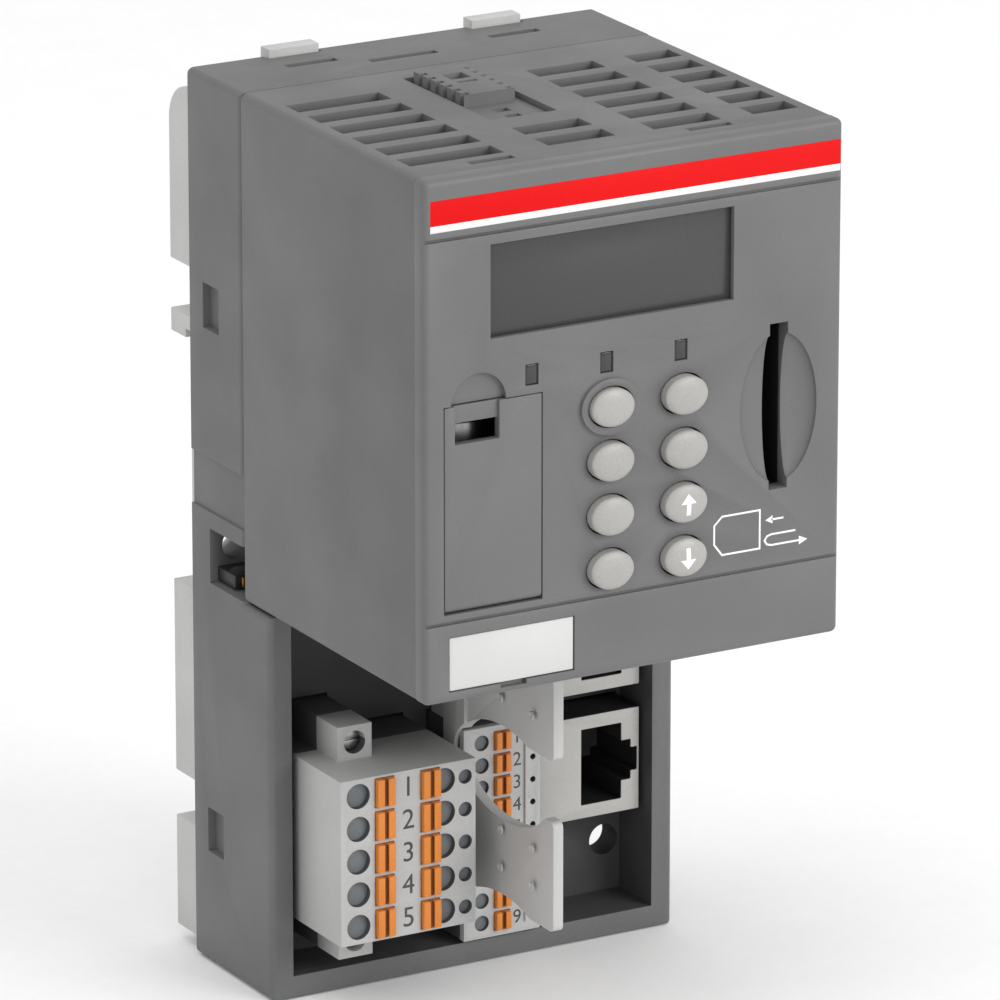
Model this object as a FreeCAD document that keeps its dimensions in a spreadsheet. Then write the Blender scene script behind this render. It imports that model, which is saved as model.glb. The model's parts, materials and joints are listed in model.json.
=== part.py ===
import FreeCAD, Part
import os
import re
import Sketcher

# Modular controller: a CPU module plugged onto a terminal base, which clips on a 35 mm rail.
# Frame: origin on the rail's centre line, on the plane where the rail's flange seats, mid-width.
# +X to the right of someone facing the keypad, +Z up, and the keypad looks along -Y.

SIZES = {
    # overall
    "width": 67.5,               # across the whole unit
    "base_height": 135.0,
    "module_height": 76.0,
    "rail_to_top": 57.7,         # rail centre line up to the top face
    "upper_depth": 16.0,         # terminal base behind the CPU module
    "lower_depth": 23.5,         # terminal base around the wiring bay
    "module_reach": 71.0,        # rail seat to the keypad face
    "gap": 0.3,                  # between parts that pass or lift off each other
    "fit": 0.15,                 # each side of a button, lever or cover in its opening
    # back plate and rail clip
    "plate_thick": 1.5,
    "plate_inset": 0.8,
    "foot_deep": 6.0,
    "rail_tall": 35.0,
    "rail_play": 0.3,
    "lip_gap": 1.4,              # room for the rail's flange behind a hook
    "hook_bite": 1.3,
    "hook_tall": 2.2,
    "lip_relief": 0.3,           # depth of the groove behind each lip, beside the rail's seat
    "top_foot_low": 27.5,
    "top_foot_taper": 3.5,
    "mid_foot_high": -21.4,
    "mid_foot_low": -51.0,
    "end_foot_high": -58.0,
    "end_foot_low": -75.2,
    "clip_wide": 15.0,
    "clip_thick": 3.0,
    "clip_bridge_high": -34.0,
    "clip_bridge_low": -46.0,
    "clip_eye": 4.0,
    "clip_eye_low": 1.5,
    "tab_wide": 8.2,
    "tab_rise": 1.2,
    "tab_thick": 1.1,
    "tab_drop": 9.0,
    "left_tab": -17.0,
    "right_tab": 16.4,
    # terminal base
    "skin": 2.0,
    "side_rim": 3.6,             # wall beside the wiring bay
    "sill": 3.3,                 # wall below the wiring bay
    "lintel": 1.6,
    "bay_deep": 9.5,
    "edge_round": 1.0,
    "notch_wide": 12.0,
    "notch_tall": 8.6,
    "notch_floor": 5.5,
    "contact_wide": 10.5,
    "contact_tall": 2.1,
    "contact_thick": 5.5,
    "snap_wide": 4.8,
    "snap_tall": 6.8,
    "snap_deep": 1.3,
    "snap_back": 4.1,            # slot edge to the base's back
    "upper_snap_low": 20.0,
    "lower_snap_low": -60.0,
    "band_low": -7.5,
    "band_high": 0.7,
    "band_deep": 0.4,
    "top_slot_front": 8.6,
    "top_slot_deep": 1.6,
    "mid_slot_left": -9.3,
    "mid_slot_right": 1.7,
    "mid_slot_front": 11.9,
    "screw_hole": 2.4,           # radius for an M4 panel screw
    "upper_screw_in": 4.45,      # hole centre to the base's side
    "upper_screw_z": -12.9,
    "lower_screw_in": 6.35,
    "lower_screw_z": -66.0,
    "boss": 4.4,
    "boss_deep": 4.5,
    "screw_window_deep": 8.5,    # cut-out in the side wall beside the lower screw, from the base's front
    "screw_window_low": -73.0,
    "screw_window_high": -61.8,
    # boards
    "board": 1.6,
    "board_inset": 1.0,
    "base_board_y": -8.0,
    "socket_half": 21.0,
    "socket_low": 4.0,
    "socket_high": 14.0,
    "socket_front": -23.0,
    "socket_wall": 1.0,
    "socket_bottom": 3.0,
    # jacks, each turned on its side
    "jack_left": 12.0,
    "jack_wide": 17.3,
    "jack_tall": 15.9,
    "jack_front": -22.6,
    "lower_jack_low": -59.2,
    "jack_pitch": 19.5,
    "jack_wall": 7.5,
    "jack_end": 2.05,            # wall above and below the mouth
    "jack_rail": 0.3,            # wall behind the plug's lug
    "jack_mouth": 6.8,
    "jack_deep": 12.0,
    "key_tall": 6.2,
    "key_wide": 1.6,
    "key_step": 3.6,
    # power plug: two columns of five poles
    "power_left": -29.0,
    "power_wide": 22.2,
    "power_low": -65.7,
    "power_pitch": 5.0,
    "power_margin": 0.1,
    "power_pin": 0.6,
    "power_front": -37.5,
    "power_seat": -23.0,
    "wire_hole": 1.9,
    "wire_deep": 10.0,
    "left_wire_x": -26.1,
    "right_wire_x": -12.1,
    "left_lever_x": -21.8,
    "right_lever_x": -14.3,
    "lever_wide": 2.9,
    "lever_tall": 4.2,
    "lever_proud": 0.8,
    "lever_deep": 5.0,
    "lever_travel": 1.0,
    "lever_groove": 0.6,
    "probe_x": -8.5,
    "probe_hole": 1.1,
    "probe_deep": 3.0,
    "ear_in": 3.9,               # plug's left side to its ears
    "ear_wide": 5.6,
    "ear_tall": 5.2,
    "ear_front": -29.5,
    "ear_hole": 1.75,
    "flange_screw": 1.25,
    "screw_head": 1.5,
    "head_deep": 1.5,
    "slot_wide": 0.3,
    "slot_deep": 0.45,
    "shroud_wall": 1.0,
    "shroud_deep": 12.0,
    "nose_deep": 8.5,
    # serial plug: one column of nine poles
    "serial_left": -2.4,
    "serial_wide": 12.8,
    "serial_low": -73.4,
    "serial_pitch": 3.5,
    "serial_margin": 0.6,
    "serial_wall": 0.7,
    "serial_pin": 0.3,
    "serial_front": -26.2,
    "serial_seat": -24.8,
    "serial_wire": 1.2,
    "serial_wire_x": 0.6,
    "serial_lever_x": 4.0,
    "serial_lever_wide": 2.5,
    "serial_lever_tall": 2.7,
    "serial_probe_x": 9.2,
    "serial_probe": 0.45,
    "serial_nose": 9.0,
    # cable plate on the serial plug
    "cable_thick": 1.6,
    "spine_thick": 0.6,           # strip beside the plug that joins the plate's two halves
    "spine_lap": 1.2,
    "spine_deep": 5.0,
    "cable_front": -52.5,
    "cable_back": -16.5,
    "cable_top": -20.5,
    "cable_low": -63.5,
    "window_long": 13.5,          # half sizes of the oval windows
    "window_tall": 7.2,
    "window_y": -37.9,
    "window_z": -43.5,
    "window_pitch": 25.9,
    "mouth_low": -46.7,
    "mouth_high": -37.4,
    # CPU module housing
    "shell": 2.0,
    "shell_back": 1.8,
    "shell_round": 1.2,
    "fascia": 2.6,
    "vent_start": 26.6,
    "vent_pitch": 6.45,
    "vent_slot": 4.0,
    "vent_short": 1.5,
    "vent_stub": 7.0,            # length of the two stub vents
    "latch_left": -9.8,
    "latch_right": 0.9,
    "latch_front": 47.4,
    "latch_back": 22.0,
    "latch_sink": 0.8,
    "latch_thick": 1.4,
    "rib_pitch": 2.4,
    "rib_deep": 0.7,
    "rib_groove": 1.05,
    "block_rise": 1.1,
    "block_long": 15.5,
    "block_side": 1.1,           # depth of the grooves down the block's sides
    "block_hole": 3.2,
    "hole_back": 4.4,
    "hole_long": 3.0,
    "block_slot": 0.9,
    "slot_back": 8.6,
    "arm_hole": 2.4,
    "arm_hole_back": 18.0,
    "arm_hole_long": 1.8,
    "rib_end": 1.2,
    "tongue_wide": 6.0,
    "tongue_reach": 15.2,
    "tongue_drop": 4.6,
    "latch_travel": 2.0,
    "foot_latch_half": 6.0,
    # fascia
    "strip_low": 51.2,
    "strip_high": 54.8,
    "strip_left": -32.7,
    "strip_thick": 0.5,
    "line_tall": 1.0,
    "groove_tall": 0.5,
    "groove_deep": 0.45,
    "upper_groove": 48.8,
    "lower_groove": -6.8,
    "pane_left": -23.2,
    "pane_right": 15.9,
    "pane_low": 33.8,
    "pane_high": 47.4,
    "pane_sink": 0.8,
    "pane_thick": 1.2,
    "lamp_x": -16.6,
    "lamp_pitch": 12.0,
    "lamp_z": 27.7,
    "lamp_wide": 1.8,
    "lamp_tall": 2.8,
    "key_x": -4.2,
    "key_step_x": 11.9,
    "key_z": 21.3,
    "key_step_z": 7.95,
    "key_half_wide": 3.45,
    "key_half_tall": 2.8,
    "key_gap": 0.25,
    "key_dome": 0.9,
    "key_proud": 1.1,
    "key_travel": 0.8,
    "key_flange": 0.7,
    "ring_wide": 4.7,
    "ring_tall": 4.1,
    "ring_proud": 0.6,
    "card_x": 23.4,
    "card_wide": 3.0,
    "card_low": 4.8,
    "card_high": 29.3,
    "card_deep": 28.0,
    "dish_wide": 6.3,
    "dish_tall": 11.0,
    "dish_deep": 2.1,
    "dish_z": 16.9,
    "plate_left": -29.7,
    "plate_right": -9.8,
    "plate_low": -16.6,
    "plate_high": -8.8,
    "plate_sink": 0.9,
    "pry_left": -21.6,
    "pry_right": -17.4,
    "pry_tall": 0.8,
    # battery compartment
    "door_left": -30.5,
    "door_right": -15.0,
    "door_low": -5.2,
    "door_high": 24.8,
    "door_thick": 1.4,
    "hinge_drop": 1.0,           # hinge line to the door's lower edge and to its face
    "hinge_pin": 0.55,
    "pin_play": 0.06,
    "pin_reach": 0.9,
    "catch_left": -28.8,
    "catch_right": -21.8,
    "catch_low": 19.3,
    "catch_mid": 22.2,
    "catch_thick": 0.8,
    "thumb_x": -25.1,
    "thumb": 4.4,
    "thumb_deep": 0.9,
    "tray_wall": 1.0,
    "tray_deep": 16.0,
    "cell": 5.8,
    "cell_long": 24.0,
    "button": 1.9,
    "button_long": 1.5,
    # inside the module
    "front_board_in": 10.0,      # keypad face to the board's front
    "main_board_in": 7.7,        # module's back to the board's front
    "main_board_high": 49.5,
    "screen_deep": 3.5,
    "mat_thick": 1.2,
    "board_low": 6.2,            # front board's lower edge to the module's underside
    "sink_half": 12.0,
    "sink_low": 17.0,
    "sink_high": 45.0,
    "sink_base": 2.0,
    "sink_deep": 9.0,
    "fin": 1.2,
    "fin_pitch": 3.8,
}

POWER_POLES = 5
SERIAL_POLES = 9
KEY_ROWS = 4
VENT_ROWS = 6
LATCH_RIBS = 6
SINK_FINS = 7
ABOVE = 1.0                      # how far a cutting sketch overshoots a face

# Vent columns in the module's top, as left and right ends and the first and last slot row.
VENT_COLUMNS = [(-31.3, -16.4, 0, 5), (-9.4, 1.4, 4, 5), (7.6, 18.6, 0, 5), (23.8, 31.2, 0, 5)]

HALF = "(width / 2)"
LEFT = "(-width / 2)"
TOP = "rail_to_top"
BOTTOM = "(rail_to_top - base_height)"
MODULE_LOW = "(rail_to_top - module_height)"
SHOULDER = "(rail_to_top - module_height - gap)"
BASE_BACK = "(-plate_thick)"
BASE_FACE = "(-plate_thick - upper_depth)"
RIM = "(-plate_thick - lower_depth)"
BAY_FLOOR = "(-plate_thick - lower_depth + bay_deep)"
MODULE_BACK = "(-plate_thick - upper_depth - gap)"
FACE = "(-module_reach)"
FASCIA_BACK = "(fascia - module_reach)"
FRONT_BOARD = "(front_board_in - module_reach)"
MAIN_BOARD = "(-plate_thick - upper_depth - gap - main_board_in)"
NOTCH_FLOOR = "(-plate_thick - notch_floor)"
SCREW_LEFT = "(upper_screw_in - width / 2)"
SCREW_RIGHT = "(width / 2 - lower_screw_in)"
HINGE_Y = "(hinge_drop - module_reach)"
HINGE_Z = "(door_low + hinge_drop)"
POWER_TOP = f"(power_low + {POWER_POLES} * power_pitch + 2 * power_margin)"
SIDES = ("left", "right")
SERIAL_TOP = f"(serial_low + {SERIAL_POLES} * serial_pitch + 2 * serial_margin)"
KEY_TIP = "(-module_reach - key_proud)"
KEY_REST = "(fascia - module_reach + gap)"

FRONT, SIDE, LEVEL = "XZ_Plane", "YZ_Plane", "XY_Plane"
TURNS = {
    "X": FreeCAD.Rotation(FreeCAD.Vector(1, 1, 1), 120),
    "Y": FreeCAD.Rotation(FreeCAD.Vector(1, 0, 0), -90),
    "Z": FreeCAD.Rotation(),
}
DIRECTIONS = {
    "X": FreeCAD.Vector(1, 0, 0),
    "Y": FreeCAD.Vector(0, 1, 0),
}

doc = FreeCAD.newDocument("controller_module")
finished = []


def fill_sheet():
    """Put every driving size in the sheet, one alias each."""
    sheet = doc.addObject("Spreadsheet::Sheet", "sizes")
    for row, (word, value) in enumerate(SIZES.items(), start=1):
        sheet.set(f"A{row}", word)
        sheet.set(f"B{row}", str(value))
        sheet.setAlias(f"B{row}", word)
    doc.recompute()


def bind(item, name, formula):
    """Tie a property to a formula of the sheet's aliases."""
    def named(match):
        word = match.group()
        return f"sizes.{word}" if word in SIZES else word
    item.setExpression(name, re.sub(r"[a-z_]+", named, str(formula)))


def finish(item, label):
    """Give a sub-part the name that its file gets."""
    item.Label = label
    finished.append(item)
    return item


# Sketch outlines: a rectangle by its ends along both sketch axes, and a circle.

def rect(low_u, high_u, low_v, high_v):
    return ("rect", low_u, high_u, low_v, high_v)


def ring(centre_u, centre_v, radius):
    return ("ring", centre_u, centre_v, radius)


def draw_rect(sketch, low_u, high_u, low_v, high_v):
    corners = [FreeCAD.Vector(*place) for place in ((0, 0, 0), (1, 0, 0), (1, 1, 0), (0, 1, 0))]
    sides = sketch.addGeometry([Part.LineSegment(corners[i], corners[(i + 1) % 4]) for i in range(4)])
    for i in range(4):
        sketch.addConstraint(Sketcher.Constraint("Coincident", sides[i], 2, sides[(i + 1) % 4], 1))
        direction = "Vertical" if i % 2 else "Horizontal"
        sketch.addConstraint(Sketcher.Constraint(direction, sides[i]))
    for side, formula_u, formula_v in ((sides[0], low_u, low_v), (sides[2], high_u, high_v)):
        place_point(sketch, side, 1, formula_u, formula_v)


def draw_ring(sketch, centre_u, centre_v, radius):
    circle = sketch.addGeometry(Part.Circle(FreeCAD.Vector(0, 0, 0), FreeCAD.Vector(0, 0, 1), 1))
    place_point(sketch, circle, 3, centre_u, centre_v)
    row = sketch.addConstraint(Sketcher.Constraint("Radius", circle, 1.0))
    bind(sketch, f"Constraints[{row}]", radius)


def place_point(sketch, piece, point, formula_u, formula_v):
    for kind, formula in (("DistanceX", formula_u), ("DistanceY", formula_v)):
        row = sketch.addConstraint(Sketcher.Constraint(kind, -1, 1, piece, point, 1.0))
        bind(sketch, f"Constraints[{row}]", formula)


def new_body(label):
    body = doc.addObject("PartDesign::Body", label)
    body.AllowCompound = True
    return finish(body, label)


def sketch_on(body, plane, height, outlines):
    """A sketch on one of the body's own planes, lifted to a height along +X, -Y or +Z."""
    sketch = body.newObject("Sketcher::SketchObject", f"{body.Name}_sketch")
    origin = next(item for item in body.Origin.OriginFeatures if item.Role == plane)
    sketch.AttachmentSupport = [(origin, "")]
    sketch.MapMode = "FlatFace"
    bind(sketch, "AttachmentOffset.Base.z", f"-({height})" if plane == FRONT else height)
    for kind, *formulas in outlines:
        (draw_rect if kind == "rect" else draw_ring)(sketch, *formulas)
    return sketch


def pad(body, plane, low, high, *outlines):
    """Add material between two coordinates along the plane's normal."""
    feature = body.newObject("PartDesign::Pad", f"{body.Name}_pad")
    feature.Profile = sketch_on(body, plane, high if plane == FRONT else low, outlines)
    bind(feature, "Length", f"({high}) - ({low})")
    body.Tip = feature
    return feature


def pocket(body, plane, low, high, *outlines):
    """Remove material between two coordinates along the plane's normal."""
    feature = body.newObject("PartDesign::Pocket", f"{body.Name}_pocket")
    feature.Profile = sketch_on(body, plane, low if plane == FRONT else high, outlines)
    bind(feature, "Length", f"({high}) - ({low})")
    body.Tip = feature
    return feature


def round_edges(body, radius, chosen):
    """Fillet the tip's straight edges that a test picks."""
    doc.recompute()
    base = body.Tip
    names = [f"Edge{i}" for i, edge in enumerate(base.Shape.Edges, start=1) if chosen(edge)]
    feature = body.newObject("PartDesign::Fillet", f"{body.Name}_round")
    feature.Base = (base, names)
    bind(feature, "Radius", radius)
    body.Tip = feature


def runs_along(edge, axis):
    box = edge.BoundBox
    spans = {"X": box.XLength, "Y": box.YLength, "Z": box.ZLength}
    return all(span < 1e-6 for name, span in spans.items() if name != axis)


def at_side(edge):
    return abs(abs(edge.BoundBox.Center.x) - SIZES["width"] / 2) < 1e-6


# Part primitives, for turned and oval pieces and for the tools that cut them.

def rod(name, axis, low, high, first, second, radius):
    """A cylinder along an axis; first and second are its other two coordinates in X, Y, Z order."""
    item = doc.addObject("Part::Cylinder", name)
    bind(item, "Radius", radius)
    bind(item, "Height", f"({high}) - ({low})")
    item.Placement.Rotation = TURNS[axis]
    others = iter((first, second))
    for letter in "XYZ":
        bind(item, f"Placement.Base.{letter.lower()}", low if letter == axis else next(others))
    return item


def oval_prism(name, place, half_long, half_tall, axis, length):
    """An oval prism that starts at a place and runs along an axis."""
    outline = doc.addObject("Part::Ellipse", f"{name}_outline")
    bind(outline, "MajorRadius", half_long)
    bind(outline, "MinorRadius", half_tall)
    outline.Placement.Rotation = TURNS[axis]
    for letter, formula in zip("xyz", place):
        bind(outline, f"Placement.Base.{letter}", formula)
    item = doc.addObject("Part::Extrusion", name)
    item.Base = outline
    item.DirMode = "Custom"
    item.Dir = DIRECTIONS[axis]
    bind(item, "LengthFwd", length)
    item.Solid = True
    return item


def oval(name, x, z, half_wide, half_tall, low, high):
    """An oval prism along Y."""
    return oval_prism(name, (x, low, z), half_wide, half_tall, "Y", f"({high}) - ({low})")


def egg(name, x, y, z, half_wide, half_deep, half_tall):
    """An ellipsoid by its three half sizes."""
    item = doc.addObject("Part::Ellipsoid", name)
    for prop, formula in (("Radius1", half_tall), ("Radius2", half_wide), ("Radius3", half_deep)):
        bind(item, prop, formula)
    for letter, formula in (("x", x), ("y", y), ("z", z)):
        bind(item, f"Placement.Base.{letter}", formula)
    return item


def join(name, *items):
    item = doc.addObject("Part::MultiFuse", name)
    item.Shapes = list(items)
    return item


def cut(name, base, *tools):
    item = doc.addObject("Part::Cut", name)
    item.Base = base
    item.Tool = tools[0] if len(tools) == 1 else join(f"{name}_tools", *tools)
    return item


# Terminal base

def socket_rect(margin="0"):
    return rect(f"-socket_half - {margin}", f"socket_half + {margin}",
                f"socket_low - {margin}", f"socket_high + {margin}")


def jack_low(row):
    return f"(lower_jack_low + {row} * jack_pitch)"


def jack_rect(row, margin="0"):
    return rect(f"jack_left - {margin}", f"jack_left + jack_wide + {margin}",
                f"{jack_low(row)} - {margin}", f"{jack_low(row)} + jack_tall + {margin}")


def power_rect(inset="0"):
    return rect(f"power_left + {inset}", f"power_left + power_wide - {inset}",
                f"power_low + {inset}", f"{POWER_TOP} - {inset}")


def serial_rect(inset="0"):
    return rect(f"serial_left + {inset}", f"serial_left + serial_wide - {inset}",
                f"serial_low + {inset}", f"{SERIAL_TOP} - {inset}")


def ear_rects(margin="0"):
    """The power plug's two flange ears, above and below its poles."""
    sides = (f"power_left + ear_in - {margin}", f"power_left + ear_in + ear_wide + {margin}")
    return (rect(*sides, POWER_TOP, f"{POWER_TOP} + ear_tall + {margin}"),
            rect(*sides, f"power_low - ear_tall - {margin}", "power_low"))


def ear_centres():
    x = "power_left + ear_in + ear_wide / 2"
    return (x, f"{POWER_TOP} + ear_tall / 2"), (x, "power_low - ear_tall / 2")


def base_housing():
    body = new_body("base_housing")
    pad(body, FRONT, RIM, BASE_BACK, rect(LEFT, HALF, BOTTOM, SHOULDER))
    pad(body, FRONT, BASE_FACE, BASE_BACK, rect(LEFT, HALF, SHOULDER, TOP))
    round_edges(body, "edge_round", lambda edge: at_side(edge) and (
        runs_along(edge, "Y") or (runs_along(edge, "Z") and edge.BoundBox.Center.y < base_back_edge())))
    inner = f"{HALF} - skin"
    pocket(body, FRONT, f"{BASE_FACE} + skin", BASE_BACK,
           rect(f"-({inner})", inner, SHOULDER, f"{TOP} - skin"))
    pocket(body, FRONT, f"{BAY_FLOOR} + skin", BASE_BACK,
           rect(f"-({inner})", inner, f"{BOTTOM} + sill", SHOULDER))
    bay = f"{HALF} - side_rim"
    pocket(body, FRONT, f"{RIM} - {ABOVE}", BAY_FLOOR,
           rect(f"-({bay})", bay, f"{BOTTOM} + sill", f"{SHOULDER} - lintel"))
    notch_right = f"{LEFT} + notch_wide"
    notch_high = f"{SHOULDER} + notch_tall"
    pad(body, FRONT, BASE_FACE, BASE_BACK,
        rect(f"{LEFT} + edge_round", f"{notch_right} + skin", SHOULDER, f"{notch_high} + skin"))
    pocket(body, FRONT, f"{BASE_FACE} - {ABOVE}", NOTCH_FLOOR,
           rect(f"{LEFT} - {ABOVE}", notch_right, f"{SHOULDER} + gap", notch_high))
    pad(body, FRONT, BAY_FLOOR, f"{BAY_FLOOR} + boss_deep",
        ring(SCREW_RIGHT, "lower_screw_z", "boss - skin / 2"))
    pocket(body, FRONT, f"{BAY_FLOOR} - {ABOVE}", BASE_BACK,
           ring(SCREW_LEFT, "upper_screw_z", "screw_hole"), ring(SCREW_RIGHT, "lower_screw_z", "screw_hole"))
    pocket(body, FRONT, f"{BAY_FLOOR} - {ABOVE}", f"{BAY_FLOOR} + skin + {ABOVE}",
           jack_rect(0, "gap"), jack_rect(1, "gap"), power_rect("-gap"), serial_rect("-gap"))
    pocket(body, FRONT, f"{BAY_FLOOR} - {ABOVE}", f"{BAY_FLOOR} + skin + {ABOVE}", *ear_rects("gap"))
    pocket(body, FRONT, f"{BASE_FACE} - {ABOVE}", f"{BASE_FACE} + skin + {ABOVE}", socket_rect("gap"))
    cut_base_details(body)


def base_back_edge():
    """Where the base's own back edges lie, which stay sharp against the back plate."""
    return -SIZES["plate_thick"] - 1e-3


def cut_base_details(body):
    snap_back = f"{BASE_BACK} - snap_back"
    snaps = [rect(f"{snap_back} - snap_wide", snap_back, low, f"{low} + snap_tall")
             for low in ("upper_snap_low", "lower_snap_low")]
    band = rect(f"{BASE_FACE} - {ABOVE}", BASE_BACK, "band_low", "band_high")
    for outlines, deep in ((snaps, "snap_deep"), ([band], "band_deep")):
        pocket(body, SIDE, LEFT, f"{LEFT} + {deep}", *outlines)
        pocket(body, SIDE, f"{HALF} - {deep}", HALF, *outlines)
    pocket(body, SIDE, f"{HALF} - skin - {ABOVE}", HALF,
           rect("-screw_window_deep", BASE_BACK, "screw_window_low", "screw_window_high"))
    slot_back = "-top_slot_front + top_slot_deep"
    slots = [rect(f"{middle} - tab_wide / 2", f"{middle} + tab_wide / 2", "-top_slot_front", slot_back)
             for middle in ("left_tab", "right_tab")]
    slots.append(rect("mid_slot_left", "mid_slot_right", "-mid_slot_front", "top_slot_deep - mid_slot_front"))
    pocket(body, LEVEL, f"{TOP} - skin - {ABOVE}", TOP, *slots)
    reliefs = [rect(f"{middle} - tab_wide / 2 - gap", f"{middle} + tab_wide / 2 + gap",
                    f"{BASE_BACK} - tab_thick - gap", BASE_BACK) for middle in ("left_tab", "right_tab")]
    pocket(body, LEVEL, f"{TOP} - skin - {ABOVE}", TOP, *reliefs)
    for latch in (top_latch, foot_latch):
        pocket(body, FRONT, f"{BASE_FACE} - {ABOVE}", f"{BASE_FACE} + skin + {ABOVE}", latch("window"))


def back_plate():
    body = new_body("back_plate")
    side = f"{HALF} - plate_inset"
    pad(body, FRONT, BASE_BACK, "0",
        rect(f"-({side})", side, f"{BOTTOM} + plate_inset", f"{TOP} - plate_inset"))
    for middle in ("left_tab", "right_tab"):
        ends = (f"{middle} - tab_wide / 2", f"{middle} + tab_wide / 2")
        pad(body, FRONT, BASE_BACK, "0", rect(*ends, f"{TOP} - tab_drop", f"{TOP} + tab_rise"))
        pad(body, FRONT, f"{BASE_BACK} - tab_thick", BASE_BACK,
            rect(*ends, f"{TOP} - tab_drop / 2", f"{TOP} + tab_rise"))
    pad(body, FRONT, "0", "foot_deep", rect(f"-({side})", side, "top_foot_low", f"{TOP} - top_foot_taper"))
    round_edges(body, "foot_deep - gap", at_top_foot)
    hook = "rail_tall / 2 + rail_play"
    pad(body, FRONT, "0", "foot_deep", rect(f"-({side})", side, hook, f"{hook} + hook_tall"))
    pad(body, FRONT, "lip_gap", "foot_deep",
        rect(f"-({side})", side, f"{hook} - hook_bite", f"{hook} + hook_tall"))
    relief = f"{hook} - hook_bite - gap"
    pocket(body, FRONT, "-lip_relief", "0",
           rect(f"-({side})", side, relief, hook), rect(f"-({side})", side, f"-({hook})", f"-({relief})"))
    slide = "clip_wide / 2 + gap"
    for low, high in (("mid_foot_low", "mid_foot_high"), ("end_foot_low", "end_foot_high")):
        pad(body, FRONT, "0", "foot_deep",
            rect(f"-({side})", f"-({slide})", low, high), rect(slide, side, low, high))
    pad(body, FRONT, "clip_thick + 2 * gap", "foot_deep",
        rect(f"-({slide}) - gap", f"{slide} + gap", "clip_bridge_low", "clip_bridge_high"))
    pocket(body, FRONT, BASE_BACK, "0", ring(SCREW_LEFT, "upper_screw_z", "screw_hole"))
    pocket(body, FRONT, BASE_BACK, "foot_deep",
           rect(f"{SCREW_RIGHT} - 2 * boss", side, "lower_screw_z - boss", "lower_screw_z + boss"))


def at_top_foot(edge):
    """The top foot's long upper edge, away from the plate."""
    middle = edge.BoundBox.Center
    long_edge = runs_along(edge, "X") and edge.Length > SIZES["width"] / 2
    return long_edge and middle.y > SIZES["foot_deep"] - 1e-3 and middle.z > SIZES["rail_tall"]


def rail_clip():
    body = new_body("rail_clip")
    half = "clip_wide / 2"
    top = "-rail_tall / 2 - rail_play"
    low = f"{BOTTOM} + plate_inset"
    pad(body, FRONT, "gap", "gap + clip_thick", rect(f"-{half}", half, low, f"{top} - gap"))
    pad(body, FRONT, "lip_gap", "lip_gap + clip_thick",
        rect(f"-{half}", half, f"{top} - hook_tall", f"{top} + hook_bite"))
    pocket(body, FRONT, "gap", "gap + clip_thick",
           rect("-clip_eye", "clip_eye", f"{low} + clip_eye_low", f"{low} + clip_eye_low + clip_eye"))


def base_board():
    body = new_body("base_board")
    side = f"{HALF} - side_rim - board_inset"
    pad(body, FRONT, "base_board_y", "base_board_y + board",
        rect(f"-({side})", side, f"{BOTTOM} + sill + board_inset", f"{TOP} - skin - board_inset"))
    pocket(body, FRONT, "base_board_y", "base_board_y + board",
           rect(f"-({side}) - {ABOVE}", f"{LEFT} + notch_wide + skin + gap",
                f"{SHOULDER} - gap", f"{SHOULDER} + notch_tall + skin + gap"))
    pocket(body, FRONT, "base_board_y", "base_board_y + board",
           rect(f"{SCREW_RIGHT} - boss - gap", f"{side} + {ABOVE}",
                "lower_screw_z - boss - gap", "lower_screw_z + boss + gap"))


def bus_contact():
    body = new_body("bus_contact")
    low = f"{SHOULDER} + 2 * gap"
    right = f"{LEFT} + notch_wide - gap"
    pad(body, FRONT, f"{NOTCH_FLOOR} - contact_thick", NOTCH_FLOOR,
        rect(f"{right} - contact_wide", right, low, f"{low} + contact_tall"))


def cpu_socket():
    body = new_body("cpu_socket")
    pad(body, FRONT, "socket_front", "base_board_y", socket_rect())
    pocket(body, FRONT, "socket_front", "base_board_y - socket_bottom", socket_rect("(-socket_wall)"))


def power_header():
    body = new_body("power_header")
    pad(body, FRONT, "power_seat", "base_board_y", power_rect())
    pad(body, FRONT, "power_seat", "base_board_y", *ear_rects())
    pocket(body, FRONT, "power_seat", "power_seat + shroud_deep", power_rect("shroud_wall"))
    pocket(body, FRONT, "power_seat", "power_seat + shroud_deep",
           *[ring(x, z, "flange_screw + fit") for x, z in ear_centres()])
    pins = [ring(f"{side}_wire_x", pole_z(row), "power_pin") for side in SIDES for row in range(POWER_POLES)]
    pad(body, FRONT, "power_seat + nose_deep + gap", "power_seat + shroud_deep + gap", *pins)


def serial_header():
    body = new_body("serial_header")
    pad(body, FRONT, "serial_seat", "base_board_y", serial_rect())
    pocket(body, FRONT, "serial_seat", "serial_seat + shroud_deep", serial_rect("serial_wall"))
    pins = [ring("serial_lever_x", serial_z(row), "serial_pin") for row in range(SERIAL_POLES)]
    pad(body, FRONT, "serial_seat + serial_nose + gap", "serial_seat + shroud_deep + gap", *pins)


def ethernet_jack(label, row):
    body = new_body(label)
    low = jack_low(row)
    left = "jack_left + jack_wall"
    middle = f"{low} + jack_tall / 2"
    mouth = f"{left} + jack_mouth"
    tab = f"{mouth} + key_wide"
    pad(body, FRONT, "jack_front", "base_board_y", jack_rect(row))
    deep = "jack_front + jack_deep"
    pocket(body, FRONT, "jack_front", deep,
           rect(left, mouth, f"{low} + jack_end", f"{low} + jack_tall - jack_end"))
    pocket(body, FRONT, "jack_front", deep,
           rect(mouth, tab, f"{middle} - key_tall / 2", f"{middle} + key_tall / 2"))
    pocket(body, FRONT, "jack_front", deep,
           rect(tab, "jack_left + jack_wide - jack_rail",
                f"{middle} - key_step / 2", f"{middle} + key_step / 2"))


# Pluggable terminals

def pole_z(row):
    """Height of a power pole, counted down from the top one."""
    return f"({POWER_TOP} - power_margin - ({row} + 0.5) * power_pitch)"


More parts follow.
